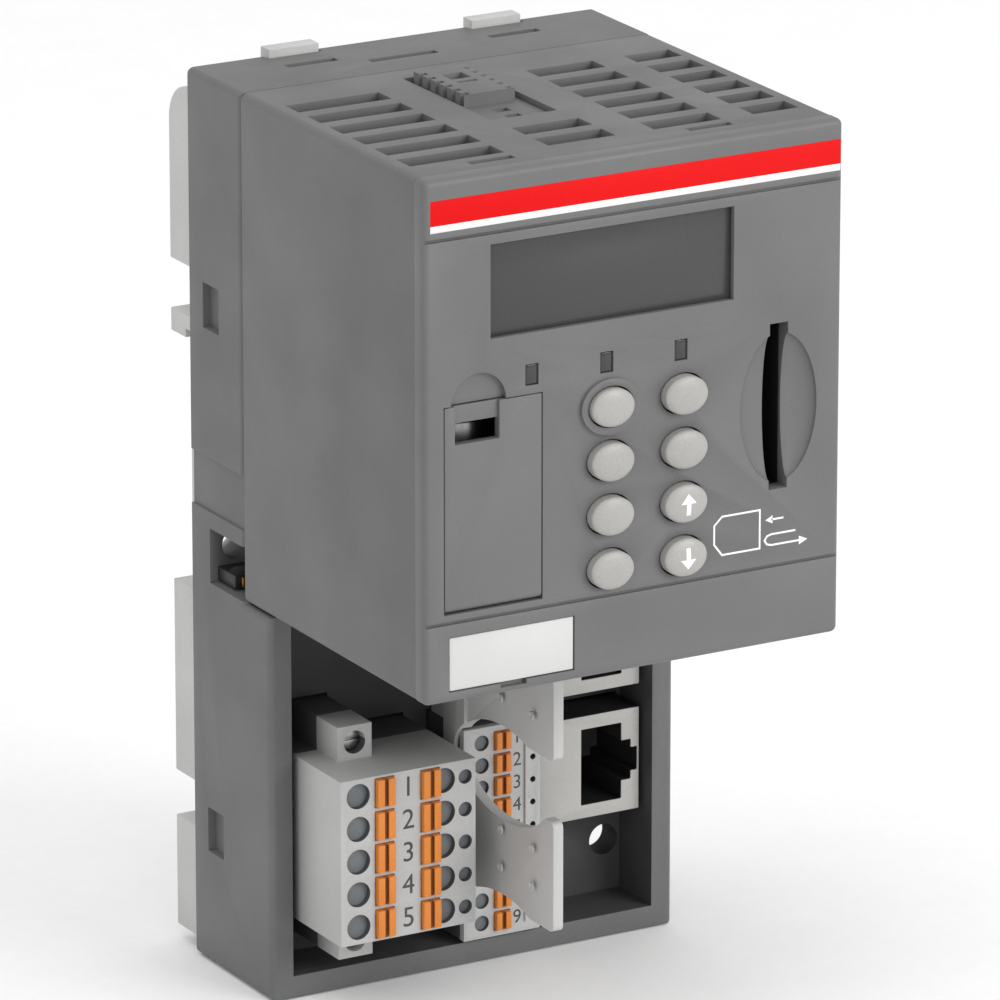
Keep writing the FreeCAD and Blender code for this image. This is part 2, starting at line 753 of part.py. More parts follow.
def serial_z(row):
    """Height of a serial pole, counted down from the top one."""
    return f"({SERIAL_TOP} - serial_margin - ({row} + 0.5) * serial_pitch)"


def lever_rect(x, z, wide, tall, margin="0"):
    return rect(f"{x} - {wide} / 2 - {margin}", f"{x} + {wide} / 2 + {margin}",
                f"{z} - {tall} / 2 - {margin}", f"{z} + {tall} / 2 + {margin}")


def power_plug():
    body = new_body("power_plug")
    seat = "power_seat - gap / 2"
    pad(body, FRONT, "power_front", seat, power_rect())
    pad(body, FRONT, "ear_front", seat, *ear_rects())
    pad(body, FRONT, seat, "power_seat + nose_deep", power_rect("(shroud_wall + gap)"))
    poles = [(side, pole_z(row)) for side in SIDES for row in range(POWER_POLES)]
    pocket(body, FRONT, "power_front", "power_front + wire_deep",
           *[ring(f"{side}_wire_x", z, "wire_hole") for side, z in poles])
    pocket(body, FRONT, "power_front", "power_front + lever_deep + lever_travel + gap",
           *[lever_rect(f"{side}_lever_x", z, "lever_wide", "lever_tall", "fit") for side, z in poles])
    pocket(body, FRONT, "power_front", "power_front + probe_deep",
           *[ring("probe_x", pole_z(row), "probe_hole") for row in range(POWER_POLES)])
    pocket(body, FRONT, "ear_front", seat, *[ring(x, z, "ear_hole") for x, z in ear_centres()])


def flange_screws():
    body = new_body("flange_screws")
    head = "ear_front + head_deep"
    stem = "ear_front + 2 * head_deep"
    pad(body, FRONT, head, stem, *[ring(x, z, "screw_head") for x, z in ear_centres()])
    pad(body, FRONT, stem, "power_seat + nose_deep", *[ring(x, z, "flange_screw") for x, z in ear_centres()])
    pocket(body, FRONT, head, f"{head} + slot_deep",
           *[lever_rect(x, z, "2 * screw_head", "slot_wide") for x, z in ear_centres()])


def lever(label, x, z, wide, tall, face):
    """An orange push lever: a square stem with a groove down its face."""
    body = new_body(label)
    pad(body, FRONT, f"{face} - lever_proud", f"{face} + lever_deep", lever_rect(x, z, wide, tall))
    pocket(body, FRONT, f"{face} - lever_proud", f"{face} - lever_proud + lever_groove",
           rect(f"{x} - lever_groove / 2", f"{x} + lever_groove / 2", f"{z} - {tall}", f"{z} + {tall}"))


def power_levers():
    for side, letter in zip(SIDES, "ab"):
        for row in range(POWER_POLES):
            lever(f"power_lever_{letter}{row + 1}", f"{side}_lever_x", pole_z(row),
                  "lever_wide", "lever_tall", "power_front")


def serial_plug():
    body = new_body("serial_plug")
    seat = "serial_seat - gap / 2"
    pad(body, FRONT, "serial_front", seat, serial_rect())
    pad(body, FRONT, seat, "serial_seat + serial_nose", serial_rect("(serial_wall + fit)"))
    rows = range(SERIAL_POLES)
    pocket(body, FRONT, "serial_front", "serial_front + lever_deep",
           *[ring("serial_wire_x", serial_z(row), "serial_wire") for row in rows])
    pocket(body, FRONT, "serial_front", "serial_front + lever_deep + lever_travel + gap",
           *[lever_rect("serial_lever_x", serial_z(row), "serial_lever_wide", "serial_lever_tall", "fit")
             for row in rows])
    pocket(body, FRONT, "serial_front", "serial_front + probe_deep",
           *[ring("serial_probe_x", serial_z(row), "serial_probe") for row in rows])


def serial_levers():
    for row in range(SERIAL_POLES):
        lever(f"serial_lever_{row + 1}", "serial_lever_x", serial_z(row),
              "serial_lever_wide", "serial_lever_tall", "serial_front")


def cable_plate():
    """A flat plate on the serial plug's left edge that its wires are tied to."""
    body = doc.addObject("PartDesign::Body", "cable_blank")
    left, right = "serial_left", "serial_left + cable_thick"
    over = f"{SERIAL_TOP} + gap"
    pad(body, SIDE, left, right, rect("cable_front", "serial_front", "cable_low", "cable_top"))
    pad(body, SIDE, left, right, rect("serial_front", "cable_back", over, "cable_top"))
    pad(body, SIDE, f"{left} - spine_thick", left,
        rect("serial_front - spine_lap", "serial_front + spine_deep", "cable_low", "cable_top"))
    pocket(body, SIDE, left, right, rect(f"cable_front - {ABOVE}", "window_y", "mouth_low", "mouth_high"))
    round_edges(body, "edge_round", lambda edge: runs_along(edge, "X")
                and abs(edge.BoundBox.Center.y - SIZES["cable_front"]) < 1e-3)
    windows = [oval_prism(f"cable_window_{word}", (f"{left} - {ABOVE}", "window_y", z),
                          "window_long", "window_tall", "X", f"cable_thick + 2 * {ABOVE}")
               for word, z in (("upper", "window_z"), ("lower", "window_z - window_pitch"))]
    finish(cut("cable_plate", body, *windows), "cable_plate")


# CPU module

def latch_outlines(left, right, low, high):
    """A latch's opening, its tongue's window in the walls behind, the tongue and the pad, by name."""
    middle = f"(({left}) / 2 + ({right}) / 2)"
    back = "-latch_back"
    return {
        "opening": rect(left, right, "-latch_front", back),
        "window": rect(f"{middle} - tongue_wide / 2 - gap", f"{middle} + tongue_wide / 2 + gap",
                       f"{low} - gap", f"{high} + gap"),
        "tongue": rect(f"{middle} - tongue_wide / 2", f"{middle} + tongue_wide / 2", low, high),
        "plate": rect(f"{left} + gap", f"{right} - gap", "gap - latch_front", f"{back} - gap"),
        "ribs": [rect(f"{left} + rib_end", f"{right} - rib_end", f"{back} - {row} * rib_pitch - rib_groove",
                      f"{back} - {row} * rib_pitch") for row in range(1, LATCH_RIBS + 1)],
    }


def top_latch(part):
    """Outlines of the latch in the module's top. Its window leaves room below for the press."""
    low = f"{TOP} - tongue_drop"
    if part == "window":
        low = f"{low} - latch_travel"
    return latch_outlines("latch_left", "latch_right", low, f"{TOP} - tongue_drop + latch_thick")[part]


def foot_latch(part):
    """Outlines of the latch in the module's underside. Its window leaves room above for the press."""
    high = f"{MODULE_LOW} + tongue_drop"
    if part == "window":
        high = f"{high} + latch_travel"
    low = f"{MODULE_LOW} + tongue_drop - latch_thick"
    return latch_outlines("-foot_latch_half", "foot_latch_half", low, high)[part]


def cpu_housing():
    body = new_body("cpu_housing")
    pad(body, FRONT, FASCIA_BACK, MODULE_BACK, rect(LEFT, HALF, MODULE_LOW, TOP))
    round_edges(body, "shell_round", lambda edge: at_side(edge) and runs_along(edge, "Y"))
    inner = f"{HALF} - shell"
    pocket(body, FRONT, FASCIA_BACK, f"{MODULE_BACK} - shell_back",
           rect(f"-({inner})", inner, f"{MODULE_LOW} + shell", f"{TOP} - shell"))
    slots = []
    for left, right, first, last in VENT_COLUMNS:
        for row in range(first, last + 1):
            back = f"-(vent_start + {row} * vent_pitch)"
            slots.append(rect(left, right, f"{back} - vent_slot", back))
    pocket(body, LEVEL, f"{TOP} - shell - {ABOVE}", TOP, top_latch("opening"), *slots)
    short_back = f"-(vent_start + {VENT_ROWS} * vent_pitch - vent_short / 2)"
    stubs = [rect(f"{right} - vent_stub", right, f"{short_back} - vent_short", short_back)
             for _, right, _, _ in VENT_COLUMNS[::2]]
    pocket(body, LEVEL, f"{TOP} - shell - {ABOVE}", TOP, *stubs)
    outer_columns = slots[:VENT_ROWS] + slots[-VENT_ROWS:]
    pocket(body, LEVEL, MODULE_LOW, f"{MODULE_LOW} + shell + {ABOVE}", foot_latch("opening"), *outer_columns)
    pocket(body, FRONT, f"{MODULE_BACK} - shell_back - {ABOVE}", MODULE_BACK,
           socket_rect("gap"), top_latch("window"), foot_latch("window"))


def key_place(column, row):
    return f"(key_x + {column} * key_step_x)", f"(key_z - {row} * key_step_z)"


def lamp_rect(column, margin="0"):
    x = f"(lamp_x + {column} * lamp_pitch)"
    return rect(f"{x} - lamp_wide / 2 - {margin}", f"{x} + lamp_wide / 2 + {margin}",
                f"lamp_z - lamp_tall / 2 - {margin}", f"lamp_z + lamp_tall / 2 + {margin}")


def door_rect(margin="0"):
    return rect(f"door_left - {margin}", f"door_right + {margin}",
                f"door_low - {margin}", f"door_high + {margin}")


def plate_rect(margin="0"):
    return rect(f"plate_left - {margin}", f"plate_right + {margin}",
                f"plate_low - {margin}", f"plate_high + {margin}")


def card_rect(margin="0"):
    return rect(f"card_x - card_wide / 2 - {margin}", f"card_x + card_wide / 2 + {margin}",
                f"card_low - {margin}", f"card_high + {margin}")


def pane_rect(margin="0"):
    return rect(f"pane_left - {margin}", f"pane_right + {margin}",
                f"pane_low - {margin}", f"pane_high + {margin}")


def fascia_blank():
    body = doc.addObject("PartDesign::Body", "fascia_blank")
    pad(body, FRONT, FACE, FASCIA_BACK, rect(LEFT, HALF, MODULE_LOW, TOP))
    round_edges(body, "edge_round", lambda edge: edge.BoundBox.Center.y < -SIZES["module_reach"] + 1e-3
                or (at_side(edge) and runs_along(edge, "Y")))
    pocket(body, FRONT, FACE, f"{FACE} + strip_thick",
           rect("strip_left", HALF, "strip_low - line_tall", "strip_high"))
    for low in ("upper_groove", "lower_groove"):
        pocket(body, FRONT, FACE, f"{FACE} + groove_deep", rect(LEFT, HALF, low, f"{low} + groove_tall"))
    pocket(body, FRONT, FACE, f"{FACE} + plate_sink", plate_rect("fit"))
    pocket(body, FRONT, FACE, f"{FACE} + plate_sink",
           rect("pry_left", "pry_right", "plate_low - pry_tall", "plate_low"))
    pocket(body, FRONT, FACE, f"{FACE} + thumb_deep", ring("thumb_x", "door_high", "thumb"))
    pocket(body, FRONT, FACE, FASCIA_BACK, pane_rect(), door_rect("fit"), card_rect())
    pocket(body, FRONT, FACE, FASCIA_BACK, *[lamp_rect(column, "fit") for column in range(3)])
    return body


def front_cover():
    holes = []
    for column in range(2):
        for row in range(KEY_ROWS):
            x, z = key_place(column, row)
            holes.append(oval(f"key_hole_{column}{row}", x, z, "key_half_wide + key_gap",
                              "key_half_tall + key_gap", f"{FACE} - ring_proud - {ABOVE}",
                              f"{FASCIA_BACK} + {ABOVE}"))
    x, z = key_place(0, 0)
    collar = oval("key_collar", x, z, "ring_wide", "ring_tall",
                  f"{FACE} - ring_proud", f"{FACE} + ring_proud")
    dish = egg("card_dish", "card_x", FACE, "dish_z", "dish_wide", "dish_deep", "dish_tall")
    pivot = rod("hinge_hole", "X", "door_left - pin_reach - gap", "door_right + pin_reach + gap",
                HINGE_Y, HINGE_Z, "hinge_pin + pin_play")
    raised = join("fascia_raised", fascia_blank(), collar)
    finish(cut("front_cover", raised, dish, pivot, *holes), "front_cover")


def accent_strip():
    body = new_body("accent_strip")
    pad(body, FRONT, FACE, f"{FACE} + strip_thick",
        rect("strip_left", f"{HALF} - edge_round / 2", "strip_low - line_tall", "strip_high"))


def display_window():
    body = new_body("display_window")
    pad(body, FRONT, f"{FACE} + pane_sink", f"{FACE} + pane_sink + pane_thick", pane_rect())


def display_module():
    body = new_body("display_module")
    pad(body, FRONT, FASCIA_BACK, f"{FASCIA_BACK} + screen_deep", pane_rect("shell"))


def light_pipes():
    body = new_body("light_pipes")
    pad(body, FRONT, f"{FACE} + fit", FRONT_BOARD, *[lamp_rect(column) for column in range(3)])


def marker_plate():
    body = new_body("marker_plate")
    pad(body, FRONT, f"{FACE} + fit", f"{FACE} + plate_sink", plate_rect())


def keypad_mat():
    body = new_body("keypad_mat")
    back = "key_half_wide + gap"
    x_low, z_high = key_place(0, 0)
    x_high, z_low = key_place(1, KEY_ROWS - 1)
    start = f"{KEY_REST} + key_flange + key_travel + gap"
    pad(body, FRONT, start, f"{start} + mat_thick",
        rect(f"{x_low} - {back}", f"{x_high} + {back}", f"{z_low} - {back}", f"{z_high} + {back}"))


def front_board():
    body = new_body("front_board")
    side = f"{HALF} - shell - gap"
    pad(body, FRONT, FRONT_BOARD, f"{FRONT_BOARD} + board",
        rect("door_right + shell", side, f"{MODULE_LOW} + board_low", f"{TOP} - shell - gap"))
    pocket(body, FRONT, FRONT_BOARD, f"{FRONT_BOARD} + board",
           rect("card_x - card_wide - gap", "card_x + card_wide + gap",
                "card_low - shell - gap", "card_high + shell + gap"))


def main_board():
    body = new_body("main_board")
    side = f"{HALF} - shell - gap"
    pad(body, FRONT, MAIN_BOARD, f"{MAIN_BOARD} + board",
        rect(f"-({side})", side, f"{MODULE_LOW} + tongue_drop + latch_travel + 2 * gap", "main_board_high"))


def cpu_connector():
    body = new_body("cpu_connector")
    inset = "(-socket_wall - gap)"
    pad(body, FRONT, f"{MAIN_BOARD} + board", "socket_front - gap", socket_rect())
    pad(body, FRONT, "socket_front - gap", "base_board_y - socket_bottom - gap", socket_rect(inset))


def card_socket():
    body = new_body("card_socket")
    far = f"{FASCIA_BACK} + card_deep"
    pad(body, FRONT, FASCIA_BACK, far,
        rect("card_x - card_wide", "card_x + card_wide", "card_low - shell", "card_high + shell"))
    pocket(body, FRONT, FASCIA_BACK, f"{far} - shell", card_rect())


def heat_sink():
    body = new_body("heat_sink")
    foot = f"{MAIN_BOARD} - sink_base"
    pad(body, FRONT, foot, MAIN_BOARD, rect("-sink_half", "sink_half", "sink_low", "sink_high"))
    fins = [f"-sink_half + {i} * fin_pitch" for i in range(SINK_FINS)]
    pad(body, FRONT, f"{foot} - sink_deep", foot,
        *[rect(x, f"{x} + fin", "sink_low", "sink_high") for x in fins])


def battery_tray():
    body = new_body("battery_tray")
    far = f"{FASCIA_BACK} + tray_deep"
    pad(body, FRONT, FASCIA_BACK, far, door_rect("tray_wall"))
    pocket(body, FRONT, FASCIA_BACK, f"{far} - tray_wall", door_rect("(-fit)"))


def battery():
    middle = "(door_low / 2 + door_high / 2)"
    y = f"{FASCIA_BACK} + tray_deep - tray_wall - cell - gap"
    x = "door_left / 2 + door_right / 2"
    top = f"{middle} + cell_long / 2"
    can = rod("cell_can", "Z", f"{middle} - cell_long / 2", f"{top} - button_long", x, y, "cell")
    button = rod("cell_button", "Z", f"{top} - button_long", top, x, y, "button")
    finish(join("battery", can, button), "battery")


def battery_door():
    panel = doc.addObject("PartDesign::Body", "door_panel")
    pad(panel, FRONT, FACE, f"{FACE} + door_thick", rect("door_left", "door_right", HINGE_Z, "door_high"))
    pocket(panel, FRONT, FACE, f"{FACE} + door_thick",
           rect("catch_left", "catch_right", "catch_low", f"door_high + {ABOVE}"))
    pad(panel, FRONT, f"{FACE} + door_thick - catch_thick", f"{FACE} + door_thick",
        rect("catch_left", "catch_right", "catch_mid", "door_high"))
    barrel = rod("door_barrel", "X", "door_left", "door_right", HINGE_Y, HINGE_Z, "hinge_drop")
    pin = rod("door_pin", "X", "door_left - pin_reach", "door_right + pin_reach", HINGE_Y, HINGE_Z,
              "hinge_pin")
    finish(join("battery_door", panel, barrel, pin), "battery_door")


def latch(label, part, face, inward):
    """A press latch: a pad in its opening, and a tongue that reaches into the base."""
    body = new_body(label)
    outer = f"{face} + ({inward}) * latch_sink"
    inner = f"{face} + ({inward}) * tongue_drop"
    pad(body, LEVEL, *sorted_ends(inner, outer, inward), part("plate"))
    pad(body, FRONT, "-latch_back - gap - shell", "-tongue_reach", part("tongue"))
    return body


def raise_thumb_block(body):
    """The top latch's block, which stands above the module with grooved sides and a hole."""
    left, right = "latch_left + rib_end", "latch_right - rib_end"
    middle = "(latch_left / 2 + latch_right / 2)"
    start, peak = f"{TOP} - latch_sink", f"{TOP} + block_rise"
    pad(body, LEVEL, start, peak, rect(left, right, "-latch_back - block_long", "-latch_back - 3 * gap"))
    grooves = []
    for row in range(1, LATCH_RIBS + 1):
        ends = (f"-latch_back - {row} * rib_pitch - rib_groove", f"-latch_back - {row} * rib_pitch")
        grooves += [rect(left, f"{left} + block_side", *ends), rect(f"{right} - block_side", right, *ends)]
    pocket(body, LEVEL, start, peak, *grooves)
    hole = "-latch_back - hole_back"
    slot = "-latch_back - slot_back"
    pocket(body, LEVEL, start, peak,
           rect(f"{middle} - block_hole / 2", f"{middle} + block_hole / 2", f"{hole} - hole_long", hole),
           rect(f"{middle} - block_hole / 2", f"{middle} + block_hole / 2", f"{slot} - block_slot", slot))
    arm_holes = []
    for row in range(2):
        back = f"-latch_back - arm_hole_back - {row} * 2 * arm_hole_long"
        arm_holes.append(rect(f"{middle} - arm_hole / 2", f"{middle} + arm_hole / 2",
                              f"{back} - arm_hole_long", back))
    pocket(body, LEVEL, f"{TOP} - latch_sink - rib_deep", start, *arm_holes)


def groove_foot_latch(body, part):
    """Grooves for the finger across the latch in the underside."""
    pocket(body, LEVEL, f"{MODULE_LOW} + latch_sink", f"{MODULE_LOW} + latch_sink + rib_deep", *part("ribs"))


def sorted_ends(inner, outer, inward):
    """Two heights, the lower one first, for a latch that's pressed down or up."""
    return (inner, outer) if inward < 0 else (outer, inner)


def keys():
    for column, side in enumerate(("left", "right")):
        for row in range(KEY_ROWS):
            x, z = key_place(column, row)
            name = f"key_{side}_{row + 1}"
            stem = oval(f"{name}_stem", x, z, "key_half_wide", "key_half_tall", KEY_TIP,
                        f"{KEY_REST} + key_flange")
            dome = egg(f"{name}_dome", x, KEY_TIP, z, "key_half_wide", "key_dome", "key_half_tall")
            flange = oval(f"{name}_flange", x, z, "key_half_wide + 2 * key_gap",
                          "key_half_tall + 2 * key_gap", KEY_REST, f"{KEY_REST} + key_flange")
            finish(join(name, stem, dome, flange), name)


def build():
    fill_sheet()
    for make in (base_housing, back_plate, rail_clip, base_board, bus_contact, cpu_socket, power_header,
                 serial_header, power_plug, flange_screws, power_levers, serial_plug, serial_levers,
                 cable_plate, cpu_housing, front_cover, accent_strip, display_window, display_module,
                 light_pipes, marker_plate, keypad_mat, front_board, main_board, cpu_connector,
                 card_socket, heat_sink, battery_tray, battery, battery_door, keys):
        make()
    ethernet_jack("ethernet_jack_lower", 0)
    ethernet_jack("ethernet_jack_upper", 1)
    raise_thumb_block(latch("top_latch", top_latch, TOP, -1))
    groove_foot_latch(latch("foot_latch", foot_latch, MODULE_LOW, 1), foot_latch)
    doc.recompute()


def check():
    """Stop before anything is written if an object failed or a sub-part is empty or broken."""
    for item in doc.Objects:
        if {"Invalid", "Error"} & set(item.State):
            raise RuntimeError(f"{item.Label} failed: {item.State}")
    for item in finished:
        if item.Shape.isNull() or not item.Shape.isValid() or item.Shape.Volume <= 0:
            raise RuntimeError(f"{item.Label} has no sound shape")


def write():
    os.makedirs("parts", exist_ok=True)
    for item in finished:
        item.Shape.exportStep(f"parts/{item.Label}.step")
    print(f"{len(finished)} sub-parts written")


build()
check()
write()
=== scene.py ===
import json
import math

import bmesh
import bpy
from mathutils import Matrix, Vector


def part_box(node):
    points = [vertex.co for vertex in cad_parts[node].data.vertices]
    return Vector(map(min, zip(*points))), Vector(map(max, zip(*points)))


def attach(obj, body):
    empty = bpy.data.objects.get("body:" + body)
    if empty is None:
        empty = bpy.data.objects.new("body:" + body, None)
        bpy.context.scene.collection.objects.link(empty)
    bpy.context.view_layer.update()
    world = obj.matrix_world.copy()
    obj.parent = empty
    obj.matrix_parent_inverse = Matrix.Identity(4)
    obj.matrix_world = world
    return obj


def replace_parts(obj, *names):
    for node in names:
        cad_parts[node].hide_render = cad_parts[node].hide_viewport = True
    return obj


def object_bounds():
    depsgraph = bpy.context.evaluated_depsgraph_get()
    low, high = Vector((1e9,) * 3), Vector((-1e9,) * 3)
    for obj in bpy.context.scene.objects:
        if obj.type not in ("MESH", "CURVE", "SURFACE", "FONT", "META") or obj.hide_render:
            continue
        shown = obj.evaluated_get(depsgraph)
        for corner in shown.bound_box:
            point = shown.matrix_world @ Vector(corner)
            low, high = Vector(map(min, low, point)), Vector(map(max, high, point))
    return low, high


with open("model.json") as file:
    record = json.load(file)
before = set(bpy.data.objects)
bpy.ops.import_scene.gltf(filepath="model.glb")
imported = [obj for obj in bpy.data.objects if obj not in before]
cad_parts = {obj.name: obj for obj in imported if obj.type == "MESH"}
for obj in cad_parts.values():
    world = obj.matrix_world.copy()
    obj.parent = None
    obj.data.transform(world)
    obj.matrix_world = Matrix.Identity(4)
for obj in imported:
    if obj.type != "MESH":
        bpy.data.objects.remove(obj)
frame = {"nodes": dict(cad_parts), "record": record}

cad_low, cad_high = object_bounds()
MM = 0.001


# Back plate and rail clip: pale grey polycarbonate, injection moulded with a fine satin texture. The plate
# snaps to the back of the terminal base, and its hook and the sliding clip hold a 35 mm steel rail. The eye
# gets a soft, slightly cloudy light grey with small bright edges.

def linear(colour):
    """An sRGB hex colour as linear red, green, blue and alpha."""
    parts = [int(colour[i:i + 2], 16) / 255 for i in (1, 3, 5)]
    return tuple(p / 12.92 if p <= 0.04045 else ((p + 0.055) / 1.055) ** 2.4 for p in parts) + (1.0,)


def add(tree, kind, values=None, **settings):
    """Add a node. Settings are its properties, and values its inputs, each a number or a socket to link."""
    made = tree.nodes.new(kind)
    for name, value in settings.items():
        setattr(made, name, value)
    for name, value in (values or {}).items():
        if isinstance(value, bpy.types.NodeSocket):
            tree.links.new(value, made.inputs[name])
        else:
            made.inputs[name].default_value = value
    return made


def moulded(name, colour, worn, roughness, grain=0.45, depth=0.02, gloss=0.0):
    """A moulded plastic. Grain is the mould's texture and depth its height in millimetres, and the colour
    drifts towards the worn one over some 15 mm, as flow and handling leave it."""
    material = bpy.data.materials.new(name)
    material.use_nodes = True
    tree = material.node_tree
    shader = tree.nodes["Principled BSDF"]
    place = add(tree, "ShaderNodeTexCoord").outputs["Object"]
    flow = add(tree, "ShaderNodeTexNoise", {"Vector": place, "Scale": 1 / (15 * MM), "Detail": 3.0})
    texture = add(tree, "ShaderNodeTexNoise", {"Vector": place, "Scale": 1 / (grain * MM), "Detail": 2.0})
    fine = add(tree, "ShaderNodeMapRange", {"Value": texture.outputs["Fac"], "From Min": 0.3, "From Max": 0.7,
                                            "To Min": 0.0, "To Max": 0.35})
    share = add(tree, "ShaderNodeMath", {0: flow.outputs["Fac"], 1: fine.outputs["Result"]}, operation="ADD")
    share = add(tree, "ShaderNodeMapRange", {"Value": share.outputs[0], "From Min": 0.35, "From Max": 0.95})
    tone = add(tree, "ShaderNodeMix", {0: share.outputs["Result"], 6: linear(colour), 7: linear(worn)},
               data_type="RGBA")
    sheen = add(tree, "ShaderNodeMapRange", {"Value": flow.outputs["Fac"], "From Min": 0.3, "From Max": 0.7,
                                             "To Min": roughness - 0.06, "To Max": roughness + 0.06})
    bump = add(tree, "ShaderNodeBump", {"Height": texture.outputs["Fac"], "Strength": 0.6,
                                        "Distance": depth * MM})
    tree.links.new(tone.outputs[2], shader.inputs["Base Color"])
    tree.links.new(sheen.outputs["Result"], shader.inputs["Roughness"])
    tree.links.new(bump.outputs["Normal"], shader.inputs["Normal"])
    shader.inputs["IOR"].default_value = 1.5
    shader.inputs["Coat Weight"].default_value = gloss
    shader.inputs["Coat Roughness"].default_value = 0.12
    return material


def body_of(node):
    return next(body for body, nodes in frame["record"]["behaviour"]["bodies"].items() if node in nodes)


def add_piece(name, mesh, material, body):
    """Put a finished mesh in the scene as a piece that moves with a body."""
    mesh.materials.clear()
    mesh.materials.append(material)
    piece = bpy.data.objects.new(name, mesh)
    bpy.context.scene.collection.objects.link(piece)
    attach(piece, body)
    return piece


def eased_mesh(node, radius, segments=2):
    """A moulded piece's mesh with the small radius, in millimetres, that its mould leaves on each edge."""
    loose = frame["nodes"][node].data
    mesh = bpy.data.meshes.new(f"{node}_eased")
    shell = bmesh.new()
    points = [shell.verts.new(vertex.co) for vertex in loose.vertices]
    for triangle in loose.polygons:
        shell.faces.new([points[i] for i in triangle.vertices])
    bmesh.ops.remove_doubles(shell, verts=shell.verts[:], dist=0.002 * MM)
    bmesh.ops.dissolve_degenerate(shell, edges=shell.edges[:], dist=0.002 * MM)
    bmesh.ops.dissolve_limit(shell, angle_limit=math.radians(0.7), verts=shell.verts[:], edges=shell.edges[:])
    shell.to_mesh(mesh)
    shell.free()
    rough = bpy.data.objects.new(f"{node}_rough", mesh)
    bpy.context.scene.collection.objects.link(rough)
    bevel = rough.modifiers.new("edge radius", "BEVEL")
    bevel.width = radius * MM
    bevel.segments = segments
    bevel.limit_method = "ANGLE"
    bevel.angle_limit = math.radians(50)
    bevel.use_clamp_overlap = True
    bevel.harden_normals = False
    finished = bpy.data.meshes.new_from_object(rough.evaluated_get(bpy.context.evaluated_depsgraph_get()))
    bpy.data.objects.remove(rough)
    finished.shade_smooth()
    finished.set_sharp_from_angle(angle=math.radians(28))
    return finished


def eased(node, radius, material, segments=2):
    """Stand a piece with eased edges in for its CAD node."""
    piece = add_piece(f"{node}_eased", eased_mesh(node, radius, segments), material, body_of(node))
    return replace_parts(piece, node)


def lined(piece, material, chosen):
    """Give the faces that a test picks by their centre, in millimetres, a second material."""
    piece.data.materials.append(material)
    for face in piece.data.polygons:
        if chosen(face.center / MM):
            face.material_index = len(piece.data.materials) - 1


pale_polycarbonate = moulded("polycarbonate_pale_grey_moulded", "#bcbcba", "#b2b2b0", 0.52)
for node in ("back_plate", "rail_clip"):
    eased(node, 0.25, pale_polycarbonate)


# Terminal base: mid-grey PC/ABS blend, spark-eroded texture, moulded in one with its wiring bay, side slots
# and screw boss. It's the dull, even grey of switchgear, a little lighter where edges catch the light. Inside
# the bay it's painted darker and given a rougher finish: painted shade for the deep shadow there.

grey_blend = moulded("pc_abs_blend_mid_grey_moulded", "#666666", "#5f5f5f", 0.56)
# Painted shade: a darker, rougher copy of the blend for the deep shadow inside the wiring bay.
bay_painted_shade = moulded("pc_abs_blend_bay_painted_shade", "#414141", "#3a3a3a", 0.7, grain=0.6)
BAY_SIDE = 31.5
BAY_TOP = -18.0
BAY_LOW = -75.3
BAY_RIM = 1.5
base_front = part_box("base_housing")[0].y / MM
# The faces inside the bay get the painted shade.
lined(eased("base_housing", 0.3, grey_blend), bay_painted_shade,
      lambda centre: abs(centre.x) < BAY_SIDE and BAY_LOW < centre.z < BAY_TOP
      and centre.y > base_front + BAY_RIM)


# Circuit boards: glass-epoxy laminate with green solder mask and copper tracks under it. They're cut flat and
# held between the mouldings. Tracks run square to each other about 1.3 mm apart and show as paler green.

def laminate(name):
    material = bpy.data.materials.new(name)
    material.use_nodes = True
    tree = material.node_tree
    shader = tree.nodes["Principled BSDF"]
    place = add(tree, "ShaderNodeTexCoord").outputs["Object"]
    tracks = add(tree, "ShaderNodeTexVoronoi", {"Vector": place, "Scale": 1 / (2.6 * MM)},
                 distance="MANHATTAN", feature="F1")
    edge = add(tree, "ShaderNodeMapRange", {"Value": tracks.outputs["Distance"], "From Min": 0.42,
                                            "From Max": 0.5})
    tone = add(tree, "ShaderNodeMix", {0: edge.outputs["Result"], 6: linear("#17452c"), 7: linear("#2a6a45")},
               data_type="RGBA")
    bump = add(tree, "ShaderNodeBump", {"Height": edge.outputs["Result"], "Strength": 0.5,
                                        "Distance": 0.035 * MM})
    tree.links.new(tone.outputs[2], shader.inputs["Base Color"])
    tree.links.new(bump.outputs["Normal"], shader.inputs["Normal"])
    shader.inputs["Roughness"].default_value = 0.35
    return material


def finish_node(node, material):
    """Give a CAD piece that keeps its mesh its real finish."""
    for place in frame["nodes"][node].material_slots:
        place.material = material


solder_mask = laminate("glass_epoxy_green_solder_mask")
for node in ("base_board", "front_board", "main_board"):
    finish_node(node, solder_mask)


# Side coupling: a black polyester insulator in the notch with a row of gold-plated springs, which touch the
# neighbouring module's contacts. The insulator is moulded, and the springs are pressed in.

